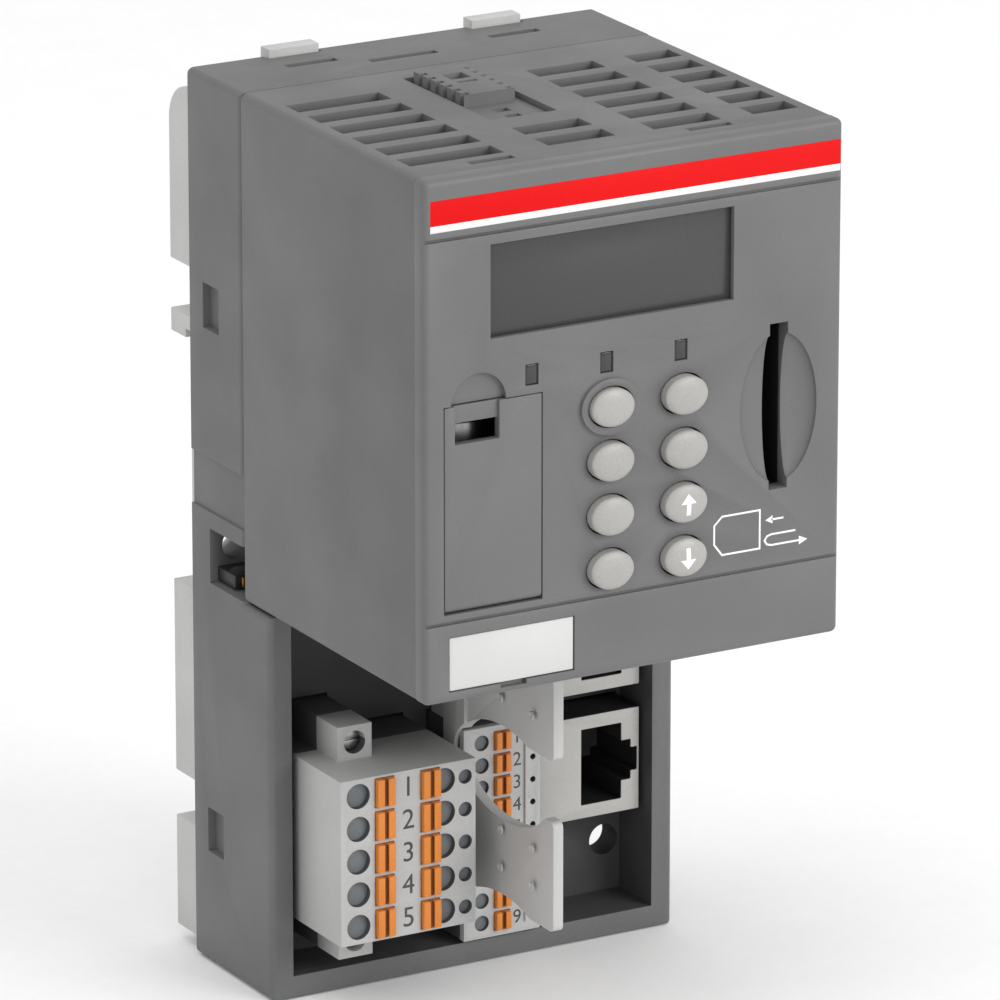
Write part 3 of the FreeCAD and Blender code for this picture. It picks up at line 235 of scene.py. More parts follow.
def plated(name, colour, deep, roughness, brushed=0.25):
    """A plated or rolled metal, with fine lines a quarter of a millimetre apart from rolling or drawing."""
    material = bpy.data.materials.new(name)
    material.use_nodes = True
    tree = material.node_tree
    shader = tree.nodes["Principled BSDF"]
    place = add(tree, "ShaderNodeTexCoord").outputs["Object"]
    along = add(tree, "ShaderNodeMapping", {"Vector": place, "Scale": (1.0, 1.0, 0.08)})
    lines = add(tree, "ShaderNodeTexNoise", {"Vector": along.outputs["Vector"], "Scale": 1 / (brushed * MM)})
    tone = add(tree, "ShaderNodeMix", {0: lines.outputs["Fac"], 6: linear(colour), 7: linear(deep)},
               data_type="RGBA")
    sheen = add(tree, "ShaderNodeMapRange", {"Value": lines.outputs["Fac"], "To Min": roughness - 0.08,
                                             "To Max": roughness + 0.08})
    bump = add(tree, "ShaderNodeBump", {"Height": lines.outputs["Fac"], "Strength": 0.3,
                                        "Distance": 0.01 * MM})
    tree.links.new(tone.outputs[2], shader.inputs["Base Color"])
    tree.links.new(sheen.outputs["Result"], shader.inputs["Roughness"])
    tree.links.new(bump.outputs["Normal"], shader.inputs["Normal"])
    shader.inputs["Metallic"].default_value = 1.0
    return material


def grid_tree():
    """Copies of one piece in columns and rows, made real and given their material."""
    tree = bpy.data.node_groups.new("pieces_in_a_grid", "GeometryNodeTree")
    sockets = {}
    for name, kind in (("Piece", "Object"), ("Columns", "Int"), ("Rows", "Int"), ("Start", "Vector"),
                       ("Column step", "Vector"), ("Row step", "Vector"), ("Finish", "Material")):
        sockets[name] = tree.interface.new_socket(name=name, in_out="INPUT", socket_type=f"NodeSocket{kind}")
    tree.interface.new_socket(name="Geometry", in_out="OUTPUT", socket_type="NodeSocketGeometry")
    given = add(tree, "NodeGroupInput").outputs
    columns = add(tree, "GeometryNodeMeshLine", {"Count": given["Columns"], "Start Location": given["Start"],
                                                 "Offset": given["Column step"]}, mode="OFFSET")
    rows = add(tree, "GeometryNodeMeshLine", {"Count": given["Rows"], "Offset": given["Row step"]},
               mode="OFFSET")
    crossed = add(tree, "GeometryNodeInstanceOnPoints", {"Points": columns.outputs["Mesh"],
                                                         "Instance": rows.outputs["Mesh"]})
    places = add(tree, "GeometryNodeRealizeInstances", {"Geometry": crossed.outputs["Instances"]})
    piece = add(tree, "GeometryNodeObjectInfo", {"Object": given["Piece"]})
    copies = add(tree, "GeometryNodeInstanceOnPoints", {"Points": places.outputs["Geometry"],
                                                        "Instance": piece.outputs["Geometry"]})
    real = add(tree, "GeometryNodeRealizeInstances", {"Geometry": copies.outputs["Instances"]})
    done = add(tree, "GeometryNodeSetMaterial", {"Geometry": real.outputs["Geometry"],
                                                 "Material": given["Finish"]})
    add(tree, "NodeGroupOutput", {"Geometry": done.outputs["Geometry"]})
    return tree, {name: socket.identifier for name, socket in sockets.items()}


piece_grid, grid_inputs = grid_tree()


def in_grid(name, piece_mesh, material, body, start, columns=1, column_step=(0, 0, 0), rows=1,
            row_step=(0, 0, 0)):
    """Repeat a mesh from a start point, with all sizes in millimetres, as one piece on a body."""
    one = bpy.data.objects.new(f"{name}_one", piece_mesh)
    bpy.context.scene.collection.objects.link(one)
    holder = bpy.data.objects.new(f"{name}_holder", bpy.data.meshes.new(f"{name}_holder"))
    bpy.context.scene.collection.objects.link(holder)
    layout = holder.modifiers.new("layout", "NODES")
    layout.node_group = piece_grid
    given = {"Piece": one, "Columns": columns, "Rows": rows, "Finish": material,
             "Start": [v * MM for v in start], "Column step": [v * MM for v in column_step],
             "Row step": [v * MM for v in row_step]}
    for word, value in given.items():
        layout[grid_inputs[word]] = value
    mesh = bpy.data.meshes.new_from_object(holder.evaluated_get(bpy.context.evaluated_depsgraph_get()))
    bpy.data.objects.remove(holder)
    bpy.data.objects.remove(one)
    return add_piece(name, mesh, material, body)


def block_mesh(name, size, ease):
    """A block by its size in millimetres, centred, with its edges eased."""
    mesh = bpy.data.meshes.new(name)
    shell = bmesh.new()
    bmesh.ops.create_cube(shell, size=1.0)
    bmesh.ops.scale(shell, vec=Vector(size) * MM, verts=shell.verts[:])
    bmesh.ops.bevel(shell, geom=shell.edges[:], offset=ease * MM, segments=2, affect="EDGES", profile=0.5)
    shell.to_mesh(mesh)
    shell.free()
    mesh.shade_smooth()
    mesh.set_sharp_from_angle(angle=math.radians(50))
    return mesh


black_polyester = moulded("pbt_black_moulded", "#1a1a1b", "#232324", 0.42, grain=0.3)
gold_plate = plated("gold_plated_phosphor_bronze", "#c79a4a", "#9d7431", 0.32)
eased("bus_contact", 0.2, black_polyester)
contact_low, contact_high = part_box("bus_contact")
COUPLING_SPRINGS = 6
SPRING_STEP = 1.6
SPRING_SIZE = (0.8, 0.5, 1.5)
SPRING_IN = 1.4
SPRING_PROUD = 0.2
spring_mesh = block_mesh("coupling_spring", SPRING_SIZE, 0.12)
in_grid("coupling_springs", spring_mesh, gold_plate, "terminal_base",
        (contact_low.x / MM + SPRING_IN, contact_low.y / MM - SPRING_PROUD,
         (contact_low.z + contact_high.z) / 2 / MM),
        columns=COUPLING_SPRINGS, column_step=(SPRING_STEP, 0, 0))


# Network jacks: two 8P8C sockets turned on their sides, black polyester bodies behind pale grey face frames.
# They're soldered to the base board, and eight gold-plated springs lie along one wall of each mouth. The pale
# frame is satin, and the mouth behind it reads black.

jack_polyester = moulded("pbt_pale_warm_grey_moulded", "#b3b1ae", "#aaa8a5", 0.45, grain=0.3)
JACK_SPRINGS = 8
JACK_SPRING_STEP = 1.02
JACK_SPRING_SIZE = (0.35, 9.0, 0.45)
JACK_SPRING_IN = 7.85
JACK_SPRING_BACK = 7.0
FACE_FRAME = 0.9
jack_spring_mesh = block_mesh("jack_spring", JACK_SPRING_SIZE, 0.1)
for node in ("ethernet_jack_lower", "ethernet_jack_upper"):
    jack_low, jack_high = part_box(node)
    lined(eased(node, 0.2, jack_polyester), black_polyester,
          lambda centre: centre.y > jack_low.y / MM + FACE_FRAME)
    middle = (jack_low.z + jack_high.z) / 2 / MM
    in_grid(f"{node}_springs", jack_spring_mesh, gold_plate, "terminal_base",
            (jack_low.x / MM + JACK_SPRING_IN, jack_low.y / MM + JACK_SPRING_BACK,
             middle + (JACK_SPRINGS - 1) / 2 * JACK_SPRING_STEP),
            rows=JACK_SPRINGS, row_step=(0, 0, -JACK_SPRING_STEP))


# Headers: dark polyamide shrouds soldered to the base board, whose pins the two plugs push onto. Only their
# rims show round the plugs.

header_polyamide = moulded("polyamide_dark_grey_moulded", "#3f4042", "#47484a", 0.5, grain=0.3)
eased("power_header", 0.15, header_polyamide)
eased("serial_header", 0.15, header_polyamide)
eased("cpu_socket", 0.15, black_polyester)


# Power plug: five rows of two spring terminals in pale grey polyamide, moulded satin. Each pole has a round
# wire entry that ends in a grey guide, and each row a test hole on the right. Two zinc-plated flange screws
# in the ears hold the plug. The walls of the entries, test holes and ear holes are painted a darker grey as
# painted shade, so the eye gets a bright satin face with even dark discs.

plug_polyamide = moulded("polyamide_pale_grey_moulded", "#b4b4b3", "#aaaaa9", 0.5, grain=0.35)
guide_polyamide = moulded("polyamide_grey_wire_guide", "#6e7276", "#64686b", 0.6, grain=0.35)
# Painted shade: a darker grey on the walls of the wire entries, test holes and ear holes, for the shadow
# inside them.
entry_painted_shade = moulded("polyamide_hole_wall_painted_shade", "#505457", "#484c4f", 0.55, grain=0.35)
zinc_plate = plated("zinc_plated_steel", "#b9b9b4", "#8f8f8b", 0.34)
power_plug = eased("power_plug", 0.22, plug_polyamide)
eased("flange_screws", 0.12, zinc_plate)

lever_low, lever_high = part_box("power_lever_a1")
screw_low, screw_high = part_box("flange_screws")
POWER_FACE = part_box("power_plug")[0].y / MM
POWER_ROWS = 5
POWER_PITCH = 5.0
POWER_FIRST = (lever_low.z + lever_high.z) / 2 / MM
WIRE_ENTRIES = (-26.1, -12.1)
WIRE_ENTRY = 1.95
TEST_COLUMN = -8.5
TEST_HOLE = 1.15
EAR_HOLE = 1.8
EAR_FACE = -29.5
HOLE_LIP = 0.3
GUIDE_PLAY = 0.09
GUIDE_IN = 0.9
GUIDE_THICK = 0.4
GUIDE_STEPS = 48
LEVER_CUT = 0.6
power_rows = [POWER_FIRST - row * POWER_PITCH for row in range(POWER_ROWS)]
power_holes = [(x, z, WIRE_ENTRY) for x in WIRE_ENTRIES for z in power_rows]
power_holes += [(TEST_COLUMN, z, TEST_HOLE) for z in power_rows]
ear_x = (screw_low.x + screw_high.x) / 2 / MM
ear_holes = [(ear_x, screw_low.z / MM + EAR_HOLE, EAR_HOLE), (ear_x, screw_high.z / MM - EAR_HOLE, EAR_HOLE)]


def within(centre, holes, face):
    """Whether a point lies in one of some round holes, each an x, a z and a radius, behind their face."""
    return centre.y > face + HOLE_LIP and any(math.hypot(centre.x - x, centre.z - z) < radius
                                              for x, z, radius in holes)


def guide_mesh(name, hole, cut=None):
    """The disc a wire's end meets in its entry. Where a lever covers its left side, it's cut off straight."""
    radius = hole - GUIDE_PLAY
    reach = hole if cut is None else cut
    mesh = bpy.data.meshes.new(name)
    shell = bmesh.new()
    turns = [math.tau * step / GUIDE_STEPS for step in range(GUIDE_STEPS)]
    outline = [(radius * math.cos(turn), radius * math.sin(turn)) for turn in turns
               if radius * math.cos(turn) > -reach]
    outline.sort(key=lambda spot: math.atan2(spot[1], spot[0]))
    front = shell.faces.new([shell.verts.new(Vector((x, 0.0, z)) * MM) for x, z in outline])
    grown = bmesh.ops.extrude_face_region(shell, geom=[front])
    bmesh.ops.translate(shell, vec=(0.0, GUIDE_THICK * MM, 0.0),
                        verts=[part for part in grown["geom"] if isinstance(part, bmesh.types.BMVert)])
    bmesh.ops.recalc_face_normals(shell, faces=shell.faces[:])
    shell.to_mesh(mesh)
    shell.free()
    return mesh


# The hole walls, picked by their centres, get the painted shade.
lined(power_plug, entry_painted_shade, lambda centre: within(centre, power_holes, POWER_FACE)
      or within(centre, ear_holes, EAR_FACE))
for name, x, disc in (("power_entry_guides_left", WIRE_ENTRIES[0], guide_mesh("guide_left", WIRE_ENTRY)),
                      ("power_entry_guides_right", WIRE_ENTRIES[1],
                       guide_mesh("guide_right", WIRE_ENTRY, LEVER_CUT)),
                      ("power_test_guides", TEST_COLUMN, guide_mesh("guide_test", TEST_HOLE))):
    in_grid(name, disc, guide_polyamide, "power_plug",
            (x, POWER_FACE + GUIDE_IN, POWER_FIRST), rows=POWER_ROWS, row_step=(0, 0, -POWER_PITCH))


# Release levers: orange polyamide, each one moulded with a groove down its face for a screwdriver's tip. They
# slide in their windows. The orange is warm and a little glossy, and the groove is painted dark brown as
# painted shadow.

orange_polyamide = moulded("polyamide_orange_moulded", "#d9812a", "#cc7624", 0.42, grain=0.35, gloss=0.1)
# Painted shadow: a dark brown on the groove's floor and walls.
groove_shadow = moulded("polyamide_orange_groove_painted_shadow", "#8a4a14", "#7a4010", 0.6, grain=0.35)
SERIAL_ROWS = 9
GROOVE_HALF = 0.312
GROOVE_FROM = 0.2
GROOVE_TO = 1.0
power_levers = [f"power_lever_{column}{row + 1}" for column in "ab" for row in range(POWER_ROWS)]
serial_levers = [f"serial_lever_{row + 1}" for row in range(SERIAL_ROWS)]
for node in power_levers + serial_levers:
    low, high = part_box(node)
    middle = (low.x + high.x) / 2 / MM
    front = low.y / MM
    # The groove's faces get the painted shadow.
    lined(eased(node, 0.14, orange_polyamide), groove_shadow,
          lambda centre: abs(centre.x - middle) < GROOVE_HALF
          and front + GROOVE_FROM < centre.y < front + GROOVE_TO)


# Row numbers: dark grey pad print, a few hundredths of a millimetre thick, in a plain sans serif. They count
# the rows of each plug from the top.

CAP_SHARE = 0.7
PRINT_THICK = 0.012


def printed_mesh(name, text, tall, centre):
    """Flat printed figures, by their height and centre on a face that looks along -Y, in millimetres."""
    line = bpy.data.curves.new(name, "FONT")
    line.body = text
    line.align_x = "CENTER"
    line.align_y = "CENTER"
    line.size = tall / CAP_SHARE * MM
    line.extrude = PRINT_THICK * MM
    holder = bpy.data.objects.new(name, line)
    bpy.context.scene.collection.objects.link(holder)
    mesh = bpy.data.meshes.new_from_object(holder.evaluated_get(bpy.context.evaluated_depsgraph_get()))
    bpy.data.objects.remove(holder)
    mesh.transform(Matrix.Translation(Vector(centre) * MM) @ Matrix.Rotation(math.radians(90), 4, "X"))
    return mesh


def together(name, meshes):
    """Several meshes as one."""
    shell = bmesh.new()
    for mesh in meshes:
        shell.from_mesh(mesh)
    joined = bpy.data.meshes.new(name)
    shell.to_mesh(joined)
    shell.free()
    return joined


def ink(name, colour, faded):
    """Pad-printed ink, whose film is thinner in specks a fifth of a millimetre across."""
    return moulded(name, colour, faded, 0.5, grain=0.2, depth=0.004)


dark_ink = ink("pad_print_dark_grey", "#333536", "#454748")
white_ink = ink("pad_print_white", "#f2f2f0", "#e4e4e2")
POWER_FIGURE = 3.0
POWER_FIGURE_COLUMN = -17.9
figures = [printed_mesh(f"power_figure_{row}", str(row + 1), POWER_FIGURE,
                        (POWER_FIGURE_COLUMN, POWER_FACE - PRINT_THICK, z))
           for row, z in enumerate(power_rows)]
add_piece("power_row_numbers", together("power_figures", figures), dark_ink, "power_plug")


# Serial plug: nine spring terminals in one column, the same polyamide at a 3.5 mm pitch. It has small wire
# entries whose walls carry painted shade, orange levers, printed numbers, and a raised rib before the row of
# test holes.

serial_plug = eased("serial_plug", 0.15, plug_polyamide)
first_low, first_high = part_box("serial_lever_1")
SERIAL_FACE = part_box("serial_plug")[0].y / MM
SERIAL_PITCH = 3.5
SERIAL_FIRST = (first_low.z + first_high.z) / 2 / MM
SERIAL_ENTRY_COLUMN = 0.6
SERIAL_ENTRY = 1.25
SERIAL_GUIDE_IN = 0.6
SERIAL_TEST_COLUMN = 9.2
SERIAL_TEST_HOLE = 0.5
SERIAL_FIGURE = 2.1
SERIAL_FIGURE_COLUMN = 6.55
RIB_COLUMN = 7.9
RIB_SIZE = (0.35, 0.5, 29.6)
RIB_PROUD = 0.1
serial_rows = [SERIAL_FIRST - row * SERIAL_PITCH for row in range(SERIAL_ROWS)]
serial_holes = [(SERIAL_ENTRY_COLUMN, z, SERIAL_ENTRY) for z in serial_rows]
serial_holes += [(SERIAL_TEST_COLUMN, z, SERIAL_TEST_HOLE) for z in serial_rows]
# The walls of the wire entries and test holes get the same painted shade.
lined(serial_plug, entry_painted_shade, lambda centre: within(centre, serial_holes, SERIAL_FACE))
in_grid("serial_entry_guides", guide_mesh("guide_serial", SERIAL_ENTRY), guide_polyamide, "serial_plug",
        (SERIAL_ENTRY_COLUMN, SERIAL_FACE + SERIAL_GUIDE_IN, SERIAL_FIRST), rows=SERIAL_ROWS,
        row_step=(0, 0, -SERIAL_PITCH))
figures = [printed_mesh(f"serial_figure_{row}", str(row + 1), SERIAL_FIGURE,
                        (SERIAL_FIGURE_COLUMN, SERIAL_FACE - PRINT_THICK, z))
           for row, z in enumerate(serial_rows)]
add_piece("serial_row_numbers", together("serial_figures", figures), dark_ink, "serial_plug")
in_grid("serial_rib", block_mesh("serial_rib_one", RIB_SIZE, 0.1), plug_polyamide, "serial_plug",
        (RIB_COLUMN, SERIAL_FACE - RIB_PROUD, serial_rows[SERIAL_ROWS // 2]))


# Cable plate: a flat strain-relief plate in pale grey polycarbonate that stands on the serial plug, with oval
# cut-outs to reach the levers and small ringed marks where its ejector pins pressed.

cable_polycarbonate = moulded("polycarbonate_cable_plate_moulded", "#bebebd", "#b4b4b3", 0.5, grain=0.35)
eased("cable_plate", 0.2, cable_polycarbonate)


def turned_mesh(name, profile, steps=32):
    """A ring turned about an axis along Y, from a closed outline of radius and depth in millimetres."""
    mesh = bpy.data.meshes.new(name)
    shell = bmesh.new()
    rings = []
    for step in range(steps):
        angle = math.tau * step / steps
        rings.append([shell.verts.new((r * MM * math.cos(angle), y * MM, r * MM * math.sin(angle)))
                      for r, y in profile])
    count = len(profile)
    for step in range(steps):
        here, there = rings[step], rings[(step + 1) % steps]
        for i in range(count):
            shell.faces.new((here[i], here[(i + 1) % count], there[(i + 1) % count], there[i]))
    bmesh.ops.remove_doubles(shell, verts=shell.verts[:], dist=0.0005 * MM)
    bmesh.ops.recalc_face_normals(shell, faces=shell.faces[:])
    shell.to_mesh(mesh)
    shell.free()
    mesh.shade_smooth()
    mesh.set_sharp_from_angle(angle=math.radians(40))
    return mesh


EJECTOR_MARK = [(0.0, -0.1), (0.25, -0.1), (0.38, -0.2), (0.55, -0.2), (0.65, 0.0), (0.65, 0.1), (0.0, 0.1)]
MARK_COLUMN = -38.1
MARK_COLUMN_STEP = 9.1
MARK_ROW_STEP = 5.8
mark_mesh = turned_mesh("ejector_mark", EJECTOR_MARK, 24)
mark_mesh.transform(Matrix.Rotation(math.radians(-90), 4, "Z"))
plate_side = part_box("cable_plate")[0].x / MM
for word, top, count in (("upper", -31.8, 1), ("lower", -52.0, 2)):
    in_grid(f"cable_plate_marks_{word}", mark_mesh.copy(), cable_polycarbonate, "serial_plug",
            (plate_side, MARK_COLUMN, top), columns=2, column_step=(0, -MARK_COLUMN_STEP, 0),
            rows=count, row_step=(0, 0, -MARK_ROW_STEP))


# CPU module housing: the same mid-grey PC/ABS blend, a deep box with rows of vents in its top and underside
# and small round corners. It snaps onto the terminal base.

eased("cpu_housing", 0.25, grey_blend)
eased("cpu_connector", 0.15, black_polyester)
fin_aluminium = plated("extruded_aluminium", "#b4b6b8", "#9a9c9e", 0.4)
finish_node("heat_sink", fin_aluminium)


# Latches: the same blend. The top one has a thumb block with grooved sides that stands over the housing, and
# a tongue that hooks into the base. The lower one lies flush in the underside.

for node in ("top_latch", "foot_latch"):
    eased(node, 0.2, grey_blend)


# Front cover: the same blend with a slightly finer texture, a flat face with two hairline grooves, a raised
# oval collar round the first key, a dished card slot and openings for window, keys and battery door.

cover_blend = moulded("pc_abs_blend_cover_moulded", "#676767", "#616161", 0.5, grain=0.35)
eased("front_cover", 0.25, cover_blend)


# Accent strip: screen-printed acrylic film, stuck in a shallow step across the cover. A red band lies over a
# thin white line, and both have the flat sheen of print.

def printed_film(name, above, upper, upper_worn, below, roughness):
    """A printed film whose colour changes at a height in millimetres."""
    material = moulded(name, upper, upper_worn, roughness, grain=0.3, depth=0.004)
    tree = material.node_tree
    shader = tree.nodes["Principled BSDF"]
    shader.inputs["Specular IOR Level"].default_value = 0.15
    place = add(tree, "ShaderNodeTexCoord").outputs["Object"]
    height = add(tree, "ShaderNodeSeparateXYZ", {"Vector": place}).outputs["Z"]
    over = add(tree, "ShaderNodeMath", {0: height, 1: above * MM}, operation="GREATER_THAN")
    tone = shader.inputs["Base Color"].links[0].from_socket
    split = add(tree, "ShaderNodeMix", {0: over.outputs[0], 6: linear(below), 7: tone}, data_type="RGBA")
    tree.links.new(split.outputs[2], shader.inputs["Base Color"])
    return material


STRIP_LINE_TOP = 51.2
strip_film = printed_film("acrylic_film_red_over_white", STRIP_LINE_TOP, "#da0408", "#d00306", "#e0e0de", 0.5)
eased("accent_strip", 0.06, strip_film)


# Display: a smoked acrylic pane set back in the cover, polished, over the dark face of the display. The pane
# reads as an even dark grey with soft reflections.

smoked_acrylic = moulded("acrylic_smoked_polished", "#3a3a3a", "#363636", 0.25, grain=0.6, depth=0.001)
eased("display_window", 0.08, smoked_acrylic)
finish_node("display_module", black_polyester)


# Status lamps: three clear polycarbonate light pipes behind small windows, dark while the lamps are off.

lamp_polycarbonate = moulded("polycarbonate_light_pipe", "#242423", "#202020", 0.25, grain=0.5, depth=0.002,
                             gloss=0.4)
eased("light_pipes", 0.12, lamp_polycarbonate)


# Keys: eight oval, domed caps in pale warm grey ABS on a silicone mat, moulded satin. Two of them carry
# printed arrows, up and down.

key_abs = moulded("abs_pale_warm_grey_keys_moulded", "#a5a3a0", "#9b9996", 0.4, grain=0.4)
silicone = moulded("silicone_grey_mat", "#4a4a4b", "#444445", 0.7, grain=0.4)
KEY_HALF_WIDE = 3.45
KEY_HALF_TALL = 2.8
KEY_DOME = 0.9
KEY_PRINT = 0.02
ARROW_ALONG = (-1.55, 0.15, 1.6)
ARROW_STEPS = 8
ARROW_SHAFT = 0.36
ARROW_HEAD = 1.25
ARROW_TIP = 0.02


def smooth_copy(node):
    """A CAD piece's mesh, merged and smooth, for a rounded cap that leaves room for its print."""
    loose = frame["nodes"][node].data
    mesh = bpy.data.meshes.new(f"{node}_smooth")
    shell = bmesh.new()
    points = [shell.verts.new(vertex.co) for vertex in loose.vertices]
    for triangle in loose.polygons:
        shell.faces.new([points[i] for i in triangle.vertices])
    bmesh.ops.remove_doubles(shell, verts=shell.verts[:], dist=0.002 * MM)
    shell.to_mesh(mesh)
    shell.free()
    mesh.transform(Matrix.Translation((0.0, KEY_PRINT * MM, 0.0)))
    mesh.shade_smooth()
    mesh.set_sharp_from_angle(angle=math.radians(60))
    return mesh


def arrow_mesh(name, centre, tip, up):
    """A printed arrow that lies on a key's dome. Up is 1, or -1 for an arrow that points down."""
    mesh = bpy.data.meshes.new(name)
    shell = bmesh.new()
    tail, neck, head = ARROW_ALONG
    rows = [tail + (neck - tail) * i / ARROW_STEPS for i in range(ARROW_STEPS + 1)]
    widths = [ARROW_SHAFT] * len(rows)
    for i in range(ARROW_STEPS + 1):
        rows.append(neck + (head - neck) * i / ARROW_STEPS)
        widths.append(max(ARROW_HEAD * (1 - i / ARROW_STEPS), ARROW_TIP))
    across = [-1.0, -0.5, 0.0, 0.5, 1.0]
    lines = []
    for along, half in zip(rows, widths):
        line = []
        for share in across:
            dx, dz = share * half, up * along
            rise = KEY_DOME * math.sqrt(1 - (dx / KEY_HALF_WIDE) ** 2 - (dz / KEY_HALF_TALL) ** 2)
            line.append(shell.verts.new(Vector((centre[0] + dx, tip - rise, centre[1] + dz)) * MM))
        lines.append(line)
    for lower, upper in zip(lines, lines[1:]):
        for i in range(len(across) - 1):
            corners = (lower[i], lower[i + 1], upper[i + 1], upper[i])
            shell.faces.new(corners if up > 0 else corners[::-1])
    shell.to_mesh(mesh)
    shell.free()
    return mesh


for side in ("left", "right"):
    for row in range(1, 5):
        node = f"key_{side}_{row}"
        cap = add_piece(f"{node}_cap", smooth_copy(node), key_abs, node)
        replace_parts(cap, node)
for node, up in (("key_right_3", 1), ("key_right_4", -1)):
    key_low, key_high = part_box(node)
    centre = ((key_low.x + key_high.x) / 2 / MM, (key_low.z + key_high.z) / 2 / MM)
    mark = arrow_mesh(f"{node}_arrow", centre, key_low.y / MM + KEY_DOME, up)
    add_piece(f"{node}_arrow", mark, white_ink, node)
finish_node("keypad_mat", silicone)


# Card socket and its mark: a black socket behind the dished slot, and beside the slot a printed outline of a
# card with one arrow in and one arrow round, in white.

def stroke_mesh(name, points, width, face, closed=False):
    """A printed line of even width through points, given as x and z in millimetres."""
    mesh = bpy.data.meshes.new(name)
    shell = bmesh.new()
    path = [Vector(point) for point in points]
    sides = []
    for i, point in enumerate(path):
        before = path[i - 1] if i or closed else None
        after = path[(i + 1) % len(path)] if i + 1 < len(path) or closed else None
        incoming = (point - before).normalized() if before else (after - point).normalized()
        outgoing = (after - point).normalized() if after else incoming
        turn = (incoming + outgoing).normalized()
        normal = Vector((-turn.y, turn.x))
        reach = width / 2 / max(normal.dot(Vector((-incoming.y, incoming.x))), 0.3)
        sides.append([shell.verts.new(Vector((p.x, face, p.y)) * MM)
                      for p in (point + normal * reach, point - normal * reach)])
    pairs = list(zip(sides, sides[1:])) + ([(sides[-1], sides[0])] if closed else [])
    for here, there in pairs:
        shell.faces.new((here[0], here[1], there[1], there[0]))
    shell.to_mesh(mesh)
    shell.free()
    return mesh


def head_mesh(name, tip, back, half, face):
    """A printed arrow head from its tip to its back edge."""
    mesh = bpy.data.meshes.new(name)
    shell = bmesh.new()
    corners = [tip, (back, tip[1] + half), (back, tip[1] - half)]
    if back < tip[0]:
        corners.reverse()
    shell.faces.new([shell.verts.new(Vector((x, face, z)) * MM) for x, z in corners])
    shell.to_mesh(mesh)
    shell.free()
    return mesh


COVER_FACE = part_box("accent_strip")[0].y / MM
PRINT_FACE = COVER_FACE - 0.02
PRINT_LINE = 0.28
card_outline = [(13.0, -1.9), (13.0, 0.9), (14.3, 2.1), (20.5, 2.1), (20.5, -3.6), (14.3, -3.6)]
hook = [(27.0, -3.4), (22.4, -3.4), (21.7, -3.2), (21.3, -2.6), (21.7, -2.0), (22.4, -1.8), (26.4, -1.8)]
card_mark = together("card_mark", [
    stroke_mesh("card_outline", card_outline, PRINT_LINE, PRINT_FACE, closed=True),
    stroke_mesh("arrow_in_line", [(24.4, 0.4), (22.4, 0.4)], PRINT_LINE, PRINT_FACE),
    head_mesh("arrow_in_head", (21.4, 0.4), 22.6, 0.6, PRINT_FACE),
    stroke_mesh("arrow_round_line", hook, PRINT_LINE, PRINT_FACE),
    head_mesh("arrow_round_head", (28.4, -3.4), 27.0, 0.65, PRINT_FACE)])
add_piece("card_slot_mark", card_mark, white_ink, "cpu_module")
finish_node("card_socket", black_polyester)


# Battery compartment: a black tray with a lithium cell in its steel can, behind a door in the cover's own
# blend. The door turns on two moulded pins at its foot and has a catch under a thumb dish.

steel_can = plated("nickel_plated_steel_can", "#b8b9ba", "#96979a", 0.3)
eased("battery_tray", 0.2, black_polyester)
eased("battery", 0.3, steel_can)
eased("battery_door", 0.2, cover_blend)


# Marker plate: a white polycarbonate label holder clipped in a shallow step, smooth and blank. A slot under
# it takes a screwdriver to lift it out.

marker_polycarbonate = moulded("polycarbonate_white_marker", "#c9c9c7", "#c2c2c0", 0.4, grain=0.3,
                               depth=0.008)
eased("marker_plate", 0.15, marker_polycarbonate)


# Studio: a plain pale floor under a soft white sky, one large soft light from the front right and a weaker
# one from above left.

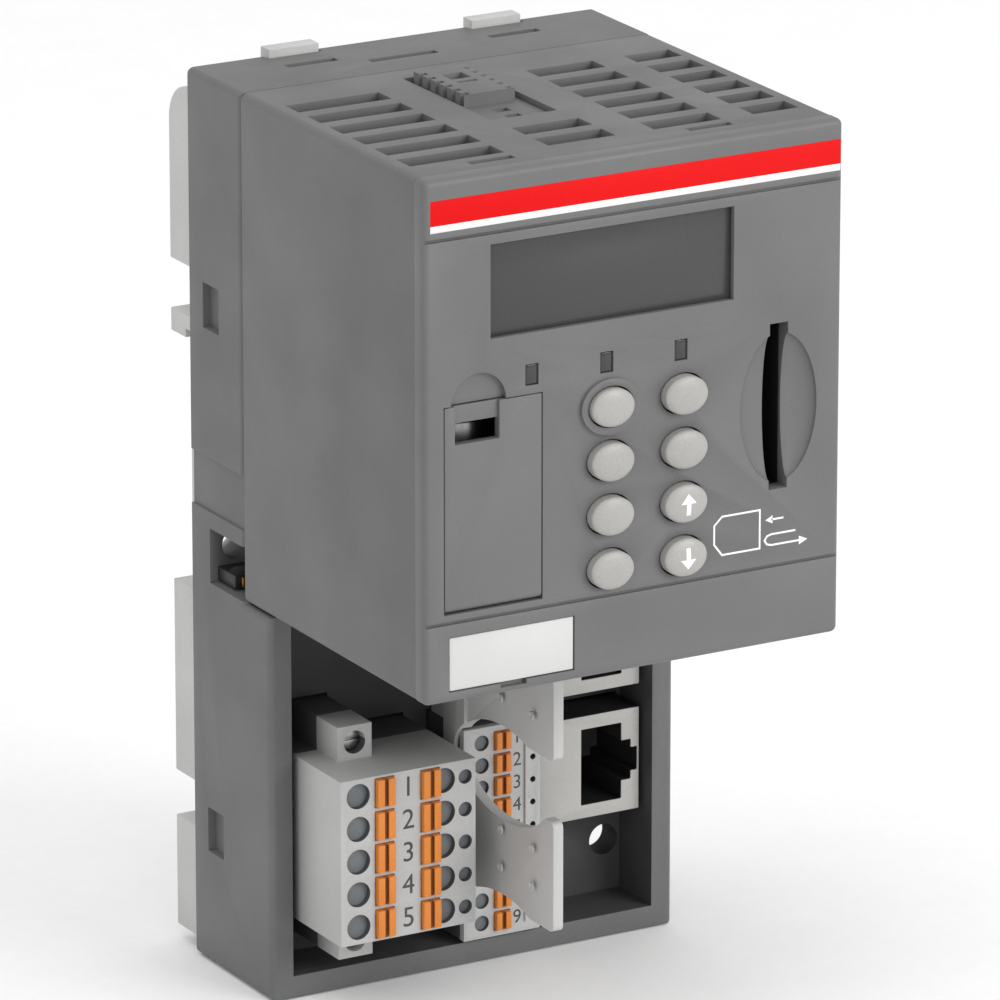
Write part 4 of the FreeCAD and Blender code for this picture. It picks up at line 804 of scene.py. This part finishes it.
FLOOR_HALF = 6.0
FLOOR_GAP = 0.2
floor_mesh = bpy.data.meshes.new("floor")
floor_z = cad_low.z - FLOOR_GAP * MM
floor_mesh.from_pydata([(x, y, floor_z) for x, y in ((-FLOOR_HALF, -FLOOR_HALF), (FLOOR_HALF, -FLOOR_HALF),
                                                     (FLOOR_HALF, FLOOR_HALF), (-FLOOR_HALF, FLOOR_HALF))],
                       [], [(0, 1, 2, 3)])
floor = bpy.data.objects.new("floor", floor_mesh)
bpy.context.scene.collection.objects.link(floor)
floor_paint = moulded("matt_white_floor", "#f4f4f4", "#f1f1f1", 0.8, grain=2.0, depth=0.01)
floor_mesh.materials.append(floor_paint)

world = bpy.data.worlds.new("studio_sky")
world.use_nodes = True
sky = world.node_tree.nodes["Background"]
sky.inputs["Color"].default_value = linear("#ffffff")
sky.inputs["Strength"].default_value = 0.9
bpy.context.scene.world = world


def soft_light(name, place, size, power, aim=(0.0, -0.03, -0.01)):
    """A square soft light by its place and width in metres and its power in watts."""
    lamp = bpy.data.lights.new(name, "AREA")
    lamp.shape = "SQUARE"
    lamp.size = size
    lamp.energy = power
    holder = bpy.data.objects.new(name, lamp)
    bpy.context.scene.collection.objects.link(holder)
    holder.location = place
    holder.rotation_euler = (Vector(aim) - Vector(place)).to_track_quat("-Z", "Y").to_euler()
    return holder


# The standard view shows each colour as it's given, without a film curve.
bpy.context.scene.view_settings.view_transform = "Standard"
soft_light("key_light", (0.7, -1.3, 0.7), 0.8, 12)
soft_light("top_light", (-0.4, -0.2, 1.4), 0.9, 4)


# Camera: a long lens from the front left, a little above, so the front stays nearly flat and the left side
# shows beside it. The aim is shifted a little, in the picture's plane, to stand the part in its middle.

AZIMUTH = math.radians(-29.5)
ELEVATION = math.radians(18.0)
DISTANCE = 1.333
TARGET = Vector((0.0, -31.5, -9.8)) * MM
RAISE = 5.34
ASIDE = 0.58
LENS = 332.7
SENSOR = 36.0
back = Vector((math.sin(AZIMUTH) * math.cos(ELEVATION), -math.cos(AZIMUTH) * math.cos(ELEVATION),
               math.sin(ELEVATION)))
turn = back.to_track_quat("Z", "Y")
camera = bpy.data.objects.new("camera", bpy.data.cameras.new("camera"))
bpy.context.scene.collection.objects.link(camera)
camera.location = TARGET + back * DISTANCE
aim_point = TARGET + (turn @ Vector((ASIDE, RAISE, 0.0))) * MM
camera.rotation_euler = (camera.location - aim_point).to_track_quat("Z", "Y").to_euler()
camera.data.sensor_width = SENSOR
camera.data.lens = LENS
camera.data.clip_end = 50.0
bpy.context.scene.camera = camera
